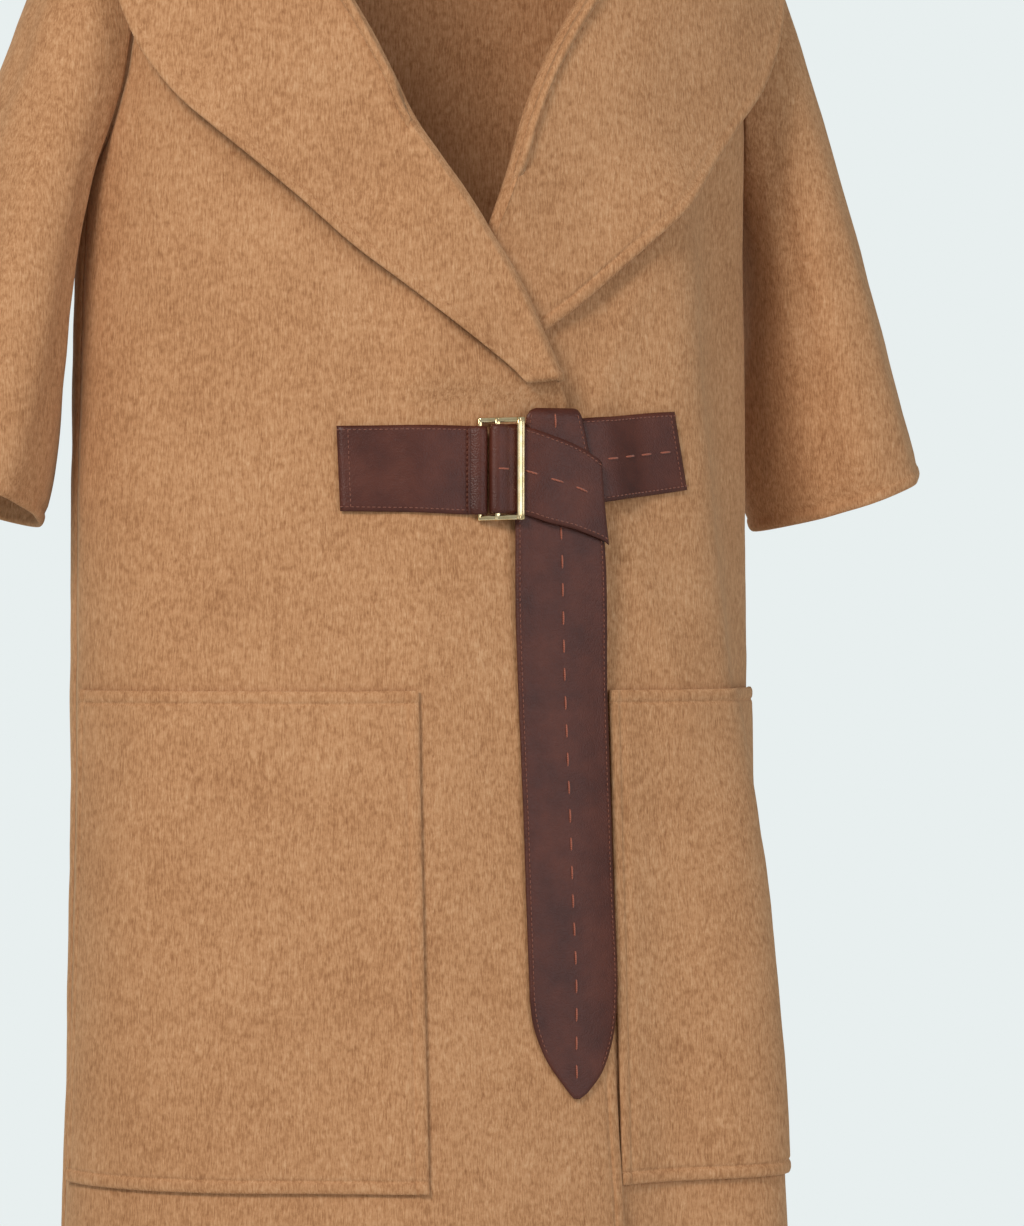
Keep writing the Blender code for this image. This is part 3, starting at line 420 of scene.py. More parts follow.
strapBaseRows = table(
    bandColumns,
    (0.1155, -0.4110, 0.1235, -0.4560, 0.0018, 0.0018),
    (0.1030, -0.4118, 0.1100, -0.4580, 0.0018, 0.0018),
    (0.0900, -0.4130, 0.0950, -0.4600, 0.0026, 0.0026),
    (0.0760, -0.4145, 0.0790, -0.4622, 0.0058, 0.0058),
    (0.0610, -0.4160, 0.0620, -0.4645, 0.0076, 0.0076),
    (0.0450, -0.4172, 0.0440, -0.4666, 0.0074, 0.0074),
    (0.0300, -0.4186, 0.0280, -0.4685, 0.0066, 0.0066),
    (0.0180, -0.4196, 0.0160, -0.4698, 0.0060, 0.0060),
    (0.0060, -0.4206, 0.0045, -0.4709, 0.0058, 0.0058),
    (0.0010, -0.4210, -0.0005, -0.4712, 0.0060, 0.0060),
    (-0.0020, -0.4212, -0.0035, -0.4714, 0.0066, 0.0066),
    (-0.0040, -0.4214, -0.0055, -0.4716, 0.0080, 0.0080),
    (-0.0044, -0.4214, -0.0059, -0.4716, 0.0100, 0.0100),
    (-0.0038, -0.4214, -0.0053, -0.4717, 0.0119, 0.0119),
    (-0.0010, -0.4213, -0.0025, -0.4718, 0.0130, 0.0130),
    (0.0022, -0.4213, 0.0007, -0.4719, 0.0126, 0.0126),
    (0.0055, -0.4214, 0.0040, -0.4720, 0.0117, 0.0117),
    (0.0090, -0.4215, 0.0073, -0.4721, 0.0114, 0.0114),
    (0.0120, -0.4217, 0.0103, -0.4722, 0.0114, 0.0114),
)
strapWrapRows = table(
    bandColumns,
    (0.0124, -0.4218, 0.0107, -0.4722, 0.0114, 0.0114),
    (0.0190, -0.4236, 0.0172, -0.4738, 0.0126, 0.0126),
    (0.0280, -0.4268, 0.0270, -0.4772, 0.0138, 0.0138),
    (0.0398, -0.4310, 0.0400, -0.4802, 0.0141, 0.0141),
    (0.0500, -0.4356, 0.0510, -0.4838, 0.0138, 0.0138),
    (0.0575, -0.4395, 0.0595, -0.4868, 0.0135, 0.0134),
    (0.0612, -0.4425, 0.0634, -0.4890, 0.0130, 0.0128),
)
strapTailRows = table(
    bandColumns,
    (0.0470, -0.4156, 0.0310, -0.4162, 0.0062, 0.0060),
    (0.0475, -0.4122, 0.0220, -0.4122, 0.0086, 0.0082),
    (0.0490, -0.4158, 0.0170, -0.4154, 0.0114, 0.0098),
    (0.0510, -0.4235, 0.0160, -0.4225, 0.0114, 0.0089),
    (0.0540, -0.4360, 0.0130, -0.4380, 0.0109, 0.0088),
    (0.0600, -0.4600, 0.0090, -0.4620, 0.0107, 0.0088),
    (0.0620, -0.4900, 0.0084, -0.4860, 0.0104, 0.0084),
    (0.0630, -0.5260, 0.0078, -0.5240, 0.0086, 0.0070),
    (0.0632, -0.5650, 0.0082, -0.5650, 0.0064, 0.0060),
    (0.0634, -0.6050, 0.0088, -0.6050, 0.0060, 0.0058),
    (0.0636, -0.6450, 0.0094, -0.6450, 0.0060, 0.0058),
    (0.0636, -0.6870, 0.0096, -0.6870, 0.0060, 0.0058),
    (0.0644, -0.7250, 0.0099, -0.7250, 0.0060, 0.0058),
    (0.0634, -0.7470, 0.0102, -0.7470, 0.0060, 0.0058),
    (0.0602, -0.7660, 0.0124, -0.7620, 0.0060, 0.0058),
    (0.0530, -0.7850, 0.0190, -0.7790, 0.0060, 0.0058),
    (0.0440, -0.7965, 0.0290, -0.7935, 0.0060, 0.0058),
    (0.0380, -0.8010, 0.0345, -0.8005, 0.0060, 0.0058),
)

# The buckle's bars, left to right, from across to across, with the heights of their faces above the cloth.
buckleTop, buckleBottom = -0.4172, -0.4756
buckleRail = 0.0028
buckleTilt = 0.03
buckleBars = table(
    "name start end low high",
    ("hinge bar", -0.0112, -0.0088, 0.0052, 0.0074),
    ("middle bar", -0.0024, 0.0010, 0.0084, 0.0110),
    ("front bar", 0.0090, 0.0136, 0.0130, 0.0158),
)


def smoothstep(low, high, value):
    # 0 below low, 1 above high and a soft step between them; high may be the smaller one.
    share = min(1.0, max(0.0, (value - low) / (high - low)))
    return share * share * (3.0 - 2.0 * share)


readings = {}


def spline(keys, values, at):
    # A smooth curve through values at rising keys
    if at <= keys[0]:
        return values[0]
    if at >= keys[-1]:
        return values[-1]
    index = max(i for i in range(len(keys) - 1) if keys[i] <= at)

    def slope(i):
        before, after = max(i - 1, 0), min(i + 1, len(keys) - 1)
        return (values[after] - values[before]) / (keys[after] - keys[before])

    span = keys[index + 1] - keys[index]
    t = (at - keys[index]) / span
    start = (2 * t**3 - 3 * t**2 + 1) * values[index] + (t**3 - 2 * t**2 + t) * span * slope(index)
    end = (3 * t**2 - 2 * t**3) * values[index + 1] + (t**3 - t**2) * span * slope(index + 1)
    return start + end


def read(rows, column, at):
    # A table's column as a smooth curve over its levels; each reading is kept for the next time
    spot = (id(rows), column, at)
    if spot not in readings:
        readings[spot] = spline([row.level for row in rows], [getattr(row, column) for row in rows], at)
    return readings[spot]


foldRows = {
    name: table("level azimuth height width", *sorted(rows))
    for name, rows in {**foldTables, **creaseTables}.items()
}
edgeRows = {side: table("level azimuth", *sorted(rows)) for side, rows in frontEdge.items()}


def bell(turn, middle, width):
    # A soft bell around a turn of the circle, 1 in its middle
    away = (turn - middle + 180.0) % 360.0 - 180.0
    return exp(-0.5 * (away / width) ** 2)


def foldHeight(azimuth, level):
    # The folds' height at a place on the body.
    total = 0.0
    for rows in foldRows.values():
        shape = bell(azimuth, read(rows, "azimuth", level), read(rows, "width", level))
        total += read(rows, "height", level) * shape
    return total


def bodyFace(azimuth, level):
    # A point of the body's outer face.
    across, along = sin(radians(azimuth)), cos(radians(azimuth))
    front = along > 0.0
    depth = read(bodyRings, "frontDepth" if front else "backDepth", level)
    shift = read(bodyRings, "frontShift" if front else "backShift", level)
    width = read(bodyRings, "halfWidth", level)
    square = bodySquareness
    radius = (abs(across / width) ** square + abs(along / depth) ** square) ** (-1.0 / square)
    radius += foldHeight(azimuth, level)
    return Vector((radius * across, -radius * along, level + shift * along * along))


def bodyOut(azimuth, level):
    # The direction straight out of the body's face.
    turn = bodyFace(azimuth + 0.5, level) - bodyFace(azimuth - 0.5, level)
    top = min(level + 0.0015, bodyRings[-1].level)
    climb = bodyFace(azimuth, top) - bodyFace(azimuth, top - 0.003)
    return turn.cross(climb).normalized()


def body(azimuth, level, lift=0.0):
    # A point of the body, moved out by the lift.
    return bodyFace(azimuth, level) + bodyOut(azimuth, level) * lift


def lapLift(side, ownAzimuth, level):
    # How far a front lies outside the body's face: the right one laps over the left one and its collar.
    if side == leftSide:
        return 0.0
    overFront = smoothstep(lapOuter, lapInner, ownAzimuth)
    overCollar = smoothstep(bulgeStart, bulgeFull, level) * smoothstep(bulgeEnd, bulgeFade, level)
    overCollar *= smoothstep(bulgeOuter, bulgeInner, ownAzimuth)
    return lapRaise * overFront + bulgeLift * overCollar


def front(side, ownAzimuth, level, lift=0.0):
    # A point of a front, moved out by the lift.
    return body(side * ownAzimuth, level, lapLift(side, ownAzimuth, level) + lift)


def armhole(turn):
    # Own azimuth and level on the armhole; turn is 0 at the top, positive down the front, 180 at the bottom.
    middle = (armholeTop + armholeBottom) / 2.0
    half = (armholeTop - armholeBottom) / 2.0
    dip = armholeFrontDip if turn < 180.0 else armholeBackDip
    return 90.0 - dip * sin(radians(turn)), middle + half * cos(radians(turn))


def azimuthAt(across, height):
    # The azimuth where the body's face is that far across from the front centre, at a height below the chest.
    low, high = -75.0, 75.0
    for _ in range(40):
        middle = (low + high) / 2.0
        if bodyFace(middle, height).x < across:
            low = middle
        else:
            high = middle
    return (low + high) / 2.0


def armholeDip(level, dip):
    # How far the armhole cuts into a panel at this level, in degrees.
    middle = (armholeTop + armholeBottom) / 2.0
    half = (armholeTop - armholeBottom) / 2.0
    share = min(1.0, abs(level - middle) / half)
    return dip * (1.0 - share * share) ** 0.5


def seamAngle(level):
    # Half a seam's gap, in degrees, on the side of the body.
    return degrees(seamGap / 2.0 / read(bodyRings, "halfWidth", level))


sleeveFolds = table(
    "turn height width",
    (40.0, -0.004, 16.0),
    (95.0, 0.004, 18.0),
    (150.0, -0.003, 15.0),
    (235.0, -0.006, 16.0),
    (275.0, 0.006, 16.0),
    (320.0, -0.005, 15.0),
)


def ownSide(side, point):
    # A point or direction mirrored, for the right side, into the left side's frame, or back.
    return Vector((side * point.x, point.y, point.z))


def sleeveStart(side, turn):
    # The sleeve's first ring, in the left side's frame: just off the armhole's edge.
    def at(angle, lift=0.0):
        own, level = armhole(angle)
        return ownSide(side, body(side * own, level, lift))

    own, level = armhole(turn)
    along = (at(turn + 1.0) - at(turn - 1.0)).normalized()
    away = ownSide(side, bodyOut(side * own, level)).cross(along)
    return at(turn, seamGap) + away * seamGap * 1.5


def sleeveEnd(turn):
    # The sleeve's hem, an oval ring that drops towards the body.
    across, along = cos(radians(turn)), -sin(radians(turn))
    fold = sum(row.height * bell(turn, row.turn, row.width) for row in sleeveFolds)
    x = (sleeveHalfWidth + fold) * across
    y = (sleeveHalfDepth + fold) * along
    return sleeveHem + Vector((x, y, sleeveHemRise * x))


def collarControls(side, azimuth, level, upright, row):
    # The collar's section: off the cloth's edge, over the roll and down to the outer edge.
    out = bodyOut(side * azimuth, level)
    rise = (out * (1.0 - upright) + Vector((0.0, 0.0, 1.0)) * upright).normalized()
    edge = front(side, azimuth, level) if azimuth < 90.0 else body(side * azimuth, level)
    outer = front(side, row.outerAzimuth, row.outerLevel, row.outerLift)
    middleAzimuth = (azimuth + row.outerAzimuth) / 2.0
    middle = front(side, middleAzimuth, (level + row.outerLevel) / 2.0, row.middleLift)
    towards = middle - edge
    towards = (towards - rise * towards.dot(rise)).normalized()
    start = edge + rise * collarStart * (1.0 + 1.5 * upright) - towards * clothThickness * upright
    lean = min(collarLean + collarLeanUpright * upright, (outer - start).length * 0.25)
    waist = start + rise * (row.rise * 0.5) - towards * collarUndercut
    crest = start + rise * row.rise + towards * lean
    brow = start + rise * (row.rise * collarBrowRise) + towards * lean * collarBrowLean
    return [start, waist, crest, brow, middle, outer]


# Felled edges: the two faces are turned in and closed by hand, which leaves a fine sunk line inside each edge
felledSet = {
    "line": 0.0072, "lineWidth": 0.0010, "lineDepth": 0.0008, "puff": 0.0003, "round": 0.0024, "thin": 0.45,
    "places": (
        0.0, 0.0006, 0.0014, 0.0026, 0.0045, 0.0058, 0.0064, 0.0069, 0.0074, 0.0079, 0.0085, 0.0096, 0.0120,
    ),
}
# Cloth is never quite flat: how large and how close together its slight unevenness is
unevenSet = {"height": 0.0007, "coarse": 21.0, "fine": 57.0}
farAway = 9.0


def edgeShares(length, step, tightStart, tightEnd):
    # Places from 0 to 1 along a length, close together by the ends that have a felled line
    near = list(felledSet["places"])
    starts = near if tightStart else [0.0]
    ends = [length - value for value in reversed(near)] if tightEnd else [length]
    count = max(1, round((ends[0] - starts[-1]) / step))
    middle = [starts[-1] + (ends[0] - starts[-1]) * i / count for i in range(1, count)]
    return [value / length for value in starts + middle + ends]


def gridNormals(points, ring):
    # The direction straight out at each point of a grid
    if ring:
        right = np.roll(points, -1, axis=1) - np.roll(points, 1, axis=1)
    else:
        right = np.gradient(points, axis=1)
    up = np.gradient(points, axis=0)
    out = np.cross(right, up)
    return out / np.maximum(np.linalg.norm(out, axis=2, keepdims=True), 1e-12)


def edgeDistances(points, ring):
    # The distance of each point, along the cloth, from each of the grid's edges
    along = np.linalg.norm(np.diff(points, axis=1), axis=2)
    left = np.concatenate([np.zeros((points.shape[0], 1)), np.cumsum(along, axis=1)], axis=1)
    upward = np.linalg.norm(np.diff(points, axis=0), axis=2)
    bottom = np.concatenate([np.zeros((1, points.shape[1])), np.cumsum(upward, axis=0)], axis=0)
    far = np.full(left.shape, farAway)
    return {
        "left": far if ring else left, "right": far if ring else left[:, -1:] - left,
        "bottom": bottom, "top": bottom[-1:, :] - bottom,
    }


def makeShell(name, rows, material, thickness, felled=(), ring=False, softness=unevenSet["height"]):
    # A thin closed shell under a grid of points: columns run right and rows run up, as seen from outside
    points = np.array([[tuple(point) for point in row] for row in rows])
    normals = gridNormals(points, ring)
    away = edgeDistances(points, ring)
    lift = np.zeros(points.shape[:2])
    for edge in felled:
        fromLine = (away[edge] - felledSet["line"]) / felledSet["lineWidth"]
        fromPuff = (away[edge] - felledSet["line"] * 0.45) / (felledSet["line"] * 0.4)
        lift -= felledSet["lineDepth"] * np.exp(-fromLine ** 2)
        lift += felledSet["puff"] * np.exp(-fromPuff ** 2)
    if softness:
        for r in range(points.shape[0]):
            for c in range(points.shape[1]):
                spot = Vector(points[r, c])
                coarse = noise.noise(spot * unevenSet["coarse"])
                lift[r, c] += softness * (coarse + 0.5 * noise.noise(spot * unevenSet["fine"]))
    closest = np.full(lift.shape, farAway)
    for edge in ("left", "right", "bottom", "top") if not ring else ("bottom", "top"):
        closest = np.minimum(closest, away[edge])
    roundness = 1.0 - np.clip(closest / felledSet["round"], 0.0, 1.0)
    thin = thickness * felledSet["thin"] * roundness ** 2
    outer = points + normals * (lift - thin * 0.6)[..., None]
    inner = points + normals * (lift * 0.2 - thickness + thin)[..., None]
    rowCount, columnCount = lift.shape
    across = columnCount if ring else columnCount - 1
    vertices = np.concatenate([outer.reshape(-1, 3), inner.reshape(-1, 3)])
    total = rowCount * columnCount
    faces = []
    for r in range(rowCount - 1):
        for c in range(across):
            a, b = r * columnCount + c, r * columnCount + (c + 1) % columnCount
            d, e = a + columnCount, b + columnCount
            faces.append((a, b, e, d))
            faces.append((total + a, total + d, total + e, total + b))
    rim = []
    for c in range(across):
        b = (c + 1) % columnCount
        top = (rowCount - 1) * columnCount
        rim.append((b, c))
        rim.append((top + c, top + b))
    if not ring:
        for r in range(rowCount - 1):
            a = r * columnCount
            rim.append((a, a + columnCount))
            rim.append((a + 2 * columnCount - 1, a + columnCount - 1))
    faces += [(a, b, total + b, total + a) for a, b in rim]
    return makeObject(name, vertices.tolist(), faces, material)


def makeObject(name, vertices, faces, material):
    # A smooth object with its place in its mesh
    mesh = bpy.data.meshes.new(name)
    mesh.from_pydata([tuple(vertex) for vertex in vertices], [], faces)
    mesh.update()
    mesh.materials.append(material)
    item = bpy.data.objects.new(name, mesh)
    bpy.context.scene.collection.objects.link(item)
    mesh.shade_smooth()
    return item


def outwardOrder(side, rows):
    # Columns that run towards the own side, reordered so that they run right as seen from outside
    return rows if side == leftSide else [row[::-1] for row in rows]


def sheetArea(item):
    # One face's area of a thin shell
    return sum(face.area for face in item.data.polygons) / 2.0


def finishCloth(item, node, width, length, area):
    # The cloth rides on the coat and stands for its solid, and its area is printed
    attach(item, "root")
    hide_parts(node)
    print(item.name, "area", round(sheetArea(item), 4))


# Body panels: the grids' steps across and up, a front's width, and the back's columns
panelSet = {"step": 0.0062, "rowStep": 0.0068, "frontWidth": 0.36, "backColumns": 84}
fineLevels = [hemLevel * (1.0 - share) for share in edgeShares(-hemLevel, panelSet["rowStep"], True, False)]


def makeFront(side, name, node, cut):
    rows = []
    shares = edgeShares(panelSet["frontWidth"], panelSet["step"], True, False)
    for level in fineLevels:
        edge = read(edgeRows[side], "azimuth", level)
        end = 90.0 - seamAngle(level) - armholeDip(level, armholeFrontDip)
        rows.append([front(side, edge + (end - edge) * share, level) for share in shares])
    frontSide = "left" if side == leftSide else "right"
    item = makeShell(name, outwardOrder(side, rows), wool, clothThickness, ("bottom", frontSide))
    finishCloth(item, node, *cut)


makeFront(rightSide, "woolFrontRight", "front_right", (0.42, 1.06, 0.345))
makeFront(leftSide, "woolFrontLeft", "front_left", (0.40, 1.06, 0.345))
print("fronts made")

backRows = []
backColumns = panelSet["backColumns"]
for level in fineLevels:
    reach = 90.0 - seamAngle(level) - armholeDip(level, armholeBackDip)
    azimuths = [180.0 - reach + 2.0 * reach * i / backColumns for i in range(backColumns + 1)]
    backRows.append([body(azimuth, level) for azimuth in azimuths])
back = makeShell("woolBack", backRows, wool, clothThickness, ("bottom",))
finishCloth(back, "back", 0.64, 1.08, 0.60)
print("back made")

# Patch pockets: laid on the fronts, a little full in the middle, felled on all four edges
pocketSet = {"fullness": 0.0016, "width": 0.21}


def makePocket(side, name, node):
    rows = []
    height = pocketTop - pocketBottom
    for share in edgeShares(height, panelSet["rowStep"], True, True):
        level = pocketBottom + height * share
        edge = read(edgeRows[side], "azimuth", level)
        inner = read(pocketInner[side], "azimuth", level)
        row = []
        for part in edgeShares(pocketSet["width"], panelSet["step"], True, True):
            own = inner + (pocketOuter - inner) * part
            full = pocketSet["fullness"] * (sin(pi * part) * sin(pi * share)) ** 0.7
            row.append(front(side, own, level, seamGap + clothThickness + full))
        rows.append(row)
    item = makeShell(name, outwardOrder(side, rows), wool, clothThickness, ("bottom", "top", "left", "right"))
    finishCloth(item, node, 0.24, 0.29, None)


makePocket(rightSide, "woolPocketRight", "pocket_right")
makePocket(leftSide, "woolPocketLeft", "pocket_left")
print("pockets made")

# Sleeves: wide half sleeves with soft folds that run down from the cap
sleeveCreases = table(
    "turn height width start",
    (18.0, -0.0022, 8.0, 0.20),
    (68.0, 0.0020, 9.0, 0.35),
    (118.0, -0.0026, 8.0, 0.10),
    (185.0, 0.0022, 9.0, 0.30),
    (255.0, -0.0024, 9.0, 0.20),
    (342.0, 0.0018, 8.0, 0.40),
)
sleeveSet = {"columns": 104, "length": 0.36, "step": 0.0075, "creaseGrowth": 0.3}


def sleevePoint(side, turn, t):
    top = 0.5 + 0.5 * cos(radians(turn))
    start, end = sleeveStart(side, turn), sleeveEnd(turn)
    reach = sleeveUnderarmReach + (sleeveCapReach - sleeveUnderarmReach) * top
    leave = sleeveAxis.lerp(sleeveCapAxis, top).normalized() * reach
    arrive = sleeveAxis * sleeveHemReach
    return (start * (2 * t**3 - 3 * t**2 + 1) + leave * (t**3 - 2 * t**2 + t)
            + end * (3 * t**2 - 2 * t**3) + arrive * (t**3 - t**2))


def makeSleeve(side, name, node):
    places = [1.0 - share for share in edgeShares(sleeveSet["length"], sleeveSet["step"], True, False)]
    turns = [360.0 * i / sleeveSet["columns"] for i in range(sleeveSet["columns"])]
    if side == leftSide:
        turns = turns[::-1]
    points = np.array([[tuple(ownSide(side, sleevePoint(side, turn, t))) for turn in turns] for t in places])
    out = gridNormals(points, True)
    for r, t in enumerate(places):
        for c, turn in enumerate(turns):
            crease = sum(
                row.height * bell(turn, row.turn, row.width)
                * smoothstep(row.start, row.start + sleeveSet["creaseGrowth"], t)
                for row in sleeveCreases
            )
            points[r, c] += out[r, c] * crease
    item = makeShell(name, points, wool, clothThickness, ("bottom",), ring=True)
    finishCloth(item, node, 0.42, 0.37, 0.105)


makeSleeve(rightSide, "woolSleeveRight", "sleeve_right")
makeSleeve(leftSide, "woolSleeveLeft", "sleeve_left")
print("sleeves made")

# Shawl collar: it leaves the fronts' edge, rolls over and lies down on them, with a soft break along the roll
collarSet = {"along": 7, "width": 0.21, "step": 0.0045, "smoothStart": -12, "smoothEnd": -2, "passes": 3}


def makeCollar(side, name, node, cut):
    sections = [
        collarControls(side, read(edgeRows[side], "azimuth", row.level), row.level, row.upright, row)
        for row in collarFront[side]
    ]
    sections += [collarControls(side, row.azimuth, 0.0, 1.0, row) for row in collarNeck]
    control = np.array([[tuple(point) for point in section] for section in sections])
    control[-1, :, 0] = side * seamGap / 2.0
    for _ in range(collarSet["passes"]):  # evens out the turn from the chest to the neck
        soft = control.copy()
        for i in range(len(control) + collarSet["smoothStart"], len(control) + collarSet["smoothEnd"]):
            soft[i, 2:] = control[i, 2:] * 0.4 + (control[i - 1, 2:] + control[i + 1, 2:]) * 0.3
        control = soft
    places, spots = range(len(control)), range(control.shape[1])
    stops = [spots[-1] * share for share in edgeShares(collarSet["width"], collarSet["step"], False, True)]
    rows = []
    for step in range(places[-1] * collarSet["along"] + 1):
        place = step / collarSet["along"]
        points = [Vector([spline(places, control[:, k, axis], place) for axis in range(3)]) for k in spots]
        rows.append([
            Vector([spline(spots, [point[axis] for point in points], stop) for axis in range(3)])
            for stop in stops
        ])
    rows = outwardOrder(side, rows)
    for point in rows[-1]:
        point.x = side * seamGap / 2.0
    edge = "right" if side == leftSide else "left"
    item = makeShell(name, rows, wool, clothThickness, (edge, "bottom"))
    finishCloth(item, node, *cut)


makeCollar(rightSide, "woolCollarRight", "collar_right", (0.24, 0.66, 0.085))
makeCollar(leftSide, "woolCollarLeft", "collar_left", (0.24, 0.66, 0.085))
print("collar made")

# Leather tab and strap, and the pitch, length and radius of their two kinds of stitches
strapSet = {"fine": 7, "columns": 22, "inset": 0.0024}
edgeSet = {"pitch": 0.0030, "length": 0.0019, "radius": 0.00030}
heavySet = {"pitch": 0.0160, "radius": 0.00062}


def bandPoint(rows, place, share, onRightFront):
    # A point of a band's middle layer, at a place along its rows and a share across it
    places = range(len(rows))
    value = {key: spline(places, [getattr(row, key) for row in rows], place) for key in bandColumns.split()}
    across = value["upperAcross"] + (value["lowerAcross"] - value["upperAcross"]) * share
    height = value["upperHeight"] + (value["lowerHeight"] - value["upperHeight"]) * share
    azimuth = azimuthAt(across, height)
    under = lapLift(rightSide, -azimuth, height) if onRightFront else 0.0
    lift = value["upperLift"] + (value["lowerLift"] - value["upperLift"]) * share
    return body(azimuth, height, under + lift)


def makeBand(name, node, rows, onRightFront=False):
    grid = []
    count = (len(rows) - 1) * strapSet["fine"]
    for step in range(count + 1):
        place = step / strapSet["fine"]
        grid.append([
            bandPoint(rows, place, i / strapSet["columns"], onRightFront)
            for i in range(strapSet["columns"] + 1)
        ])
    points = np.array([[tuple(point) for point in row] for row in grid])
    out = gridNormals(points, False)
    item = makeShell(name, points + out * leatherThickness / 2.0, leather, leatherThickness, (), softness=0.0)
    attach(item, "root")
    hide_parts(node)
    return points, out


def stitchMesh(marks, radius):
    # Short round stitches that sit on the leather, each from one point to another and arched a little
    vertices, faces = [], []
    sides = 6
    rings = ((0.0, 0.25, -0.5), (0.12, 0.85, 0.35), (0.5, 1.0, 0.6), (0.88, 0.85, 0.35), (1.0, 0.25, -0.5))
    for start, end, out in marks:
        along = (end - start).normalized()
        cross = along.cross(out).normalized()
        base = len(vertices)
        for share, thick, up in rings:
            centre = start.lerp(end, share) + out * radius * up
            for k in range(sides):
                angle = 2.0 * pi * k / sides
                vertices.append(centre + (cross * cos(angle) + out * sin(angle)) * radius * thick)
        for r in range(len(rings) - 1):
            for k in range(sides):
                a, b = base + r * sides + k, base + r * sides + (k + 1) % sides
                faces.append((a, b, b + sides, a + sides))
        faces.append(tuple(base + k for k in reversed(range(sides))))
        faces.append(tuple(base + (len(rings) - 1) * sides + k for k in range(sides)))
    return vertices, faces


def alongGrid(points, out, column, inset, fromRow=0, toRow=None):
    # A line on the leather's outer face: points at an inset from one side, or at a share across
    line = []
    toRow = len(points) if toRow is None else toRow
    for r in range(fromRow, toRow):
        row = points[r]
        lengths = np.concatenate([[0.0], np.cumsum(np.linalg.norm(np.diff(row, axis=0), axis=1))])
        target = {"low": inset, "high": lengths[-1] - inset, "share": lengths[-1] * inset}[column]
        spot = [float(np.interp(target, lengths, row[:, axis])) for axis in range(3)]
        direction = [float(np.interp(target, lengths, out[r][:, axis])) for axis in range(3)]
        line.append((Vector(spot), Vector(direction).normalized()))
    return line


def acrossGrid(points, out, r):
    # A line across the leather's outer face, along one of the grid's rows
    row, outRow = points[r], out[r]
    return [(Vector(row[i]), Vector(outRow[i])) for i in range(1, len(row) - 1)]


def stitchesOn(line, pitch, length, first=0.0):
    # Stitches at a pitch along a line
    lengths = [0.0]
    for (a, _), (b, _) in zip(line, line[1:]):
        lengths.append(lengths[-1] + (b - a).length)

    def at(distance):
        spot = [float(np.interp(distance, lengths, [p[0][axis] for p in line])) for axis in range(3)]
        direction = [float(np.interp(distance, lengths, [p[1][axis] for p in line])) for axis in range(3)]
        normal = Vector(direction).normalized()
        return Vector(spot) + normal * leatherThickness * 0.5, normal

    marks = []
    distance = first
    while distance + length < lengths[-1]:
        (start, normal), (end, _) = at(distance), at(distance + length)
        marks.append((start, end, normal))
        distance += pitch
    return marks


def addStitches(name, marks, radius, material):
    vertices, faces = stitchMesh(marks, radius)
    item = makeObject(name, vertices, faces, material)
    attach(item, "root")


tabPoints, tabOut = makeBand("leatherTab", "tab", tabRows, True)
basePoints, baseOut = makeBand("leatherStrapBase", "strap_base", strapBaseRows)
wrapPoints, wrapOut = makeBand("leatherStrapWrap", "strap_wrap", strapWrapRows)
tailPoints, tailOut = makeBand("leatherStrapTail", "strap_tail", strapTailRows)
edgeMarks, heavyMarks = [], []
baseFace = -baseOut  # the strap's lower stretch shows its other face
fine = strapSet["fine"]
for points, out, first, last in (
    (tabPoints, tabOut, 0, 4 * fine + 4),
    (basePoints, baseFace, 0, 7 * fine),
    (wrapPoints, wrapOut, 0, None),
    (tailPoints, tailOut, 2 * fine, 15 * fine),
):
    for column in ("low", "high"):
        line = alongGrid(points, out, column, strapSet["inset"], first, last)
        edgeMarks += stitchesOn(line, edgeSet["pitch"], edgeSet["length"])
for points, out, r in ((tabPoints, tabOut, 4 * fine), (tabPoints, tabOut, 2), (basePoints, baseFace, 2)):
    edgeMarks += stitchesOn(acrossGrid(points, out, r), edgeSet["pitch"], edgeSet["length"])
# Down the middle: which rows, then the share of the full pitch, the length and where the first one starts
for points, out, first, last, share, length, start in (
    (tailPoints, tailOut, fine, None, 1.0, 0.0082, 0.0040),
    (wrapPoints, wrapOut, 0, None, 1.0, 0.0082, 0.0020),
    (basePoints, baseFace, 0, 6 * fine, 0.85, 0.0078, 0.0080),
    (basePoints, baseOut, 13 * fine, None, 1.0, 0.0070, 0.0025),
):
    line = alongGrid(points, out, "share", 0.5, first, last)
    heavyMarks += stitchesOn(line, heavySet["pitch"] * share, length, start)
addStitches("edgeStitching", edgeMarks, edgeSet["radius"], edgeThread)
addStitches("centreStitching", heavyMarks, heavySet["radius"], heavyThread)
print("leather made", len(edgeMarks), len(heavyMarks))

# Buckle: cast bars with rounded faces; the front bar carries a long groove and is otherwise bare
buckleSet = {
    "steps": 14, "around": 28, "groove": 0.0009, "railHeight": 0.0024, "barEnd": 0.0004,
    "caps": ((0.0006, 0.45), (0.0003, 0.82)),  # how far past the bar's end and how wide each closing ring is
}


def barProfile(width, height, groove):
    # A rounded section, given as across and out; a groove sinks the middle of its upper face
    section = []
    for k in range(buckleSet["around"]):
        angle = 2.0 * pi * k / buckleSet["around"]
        across = width / 2.0 * (abs(cos(angle)) ** 0.5) * (1 if cos(angle) >= 0 else -1)
        rise = height / 2.0 * (abs(sin(angle)) ** 0.55) * (1 if sin(angle) >= 0 else -1)
        if sin(angle) > 0:
            rise -= groove * exp(-((across + width * 0.06) / (width * 0.13)) ** 2)
        section.append((across, rise))
    return section


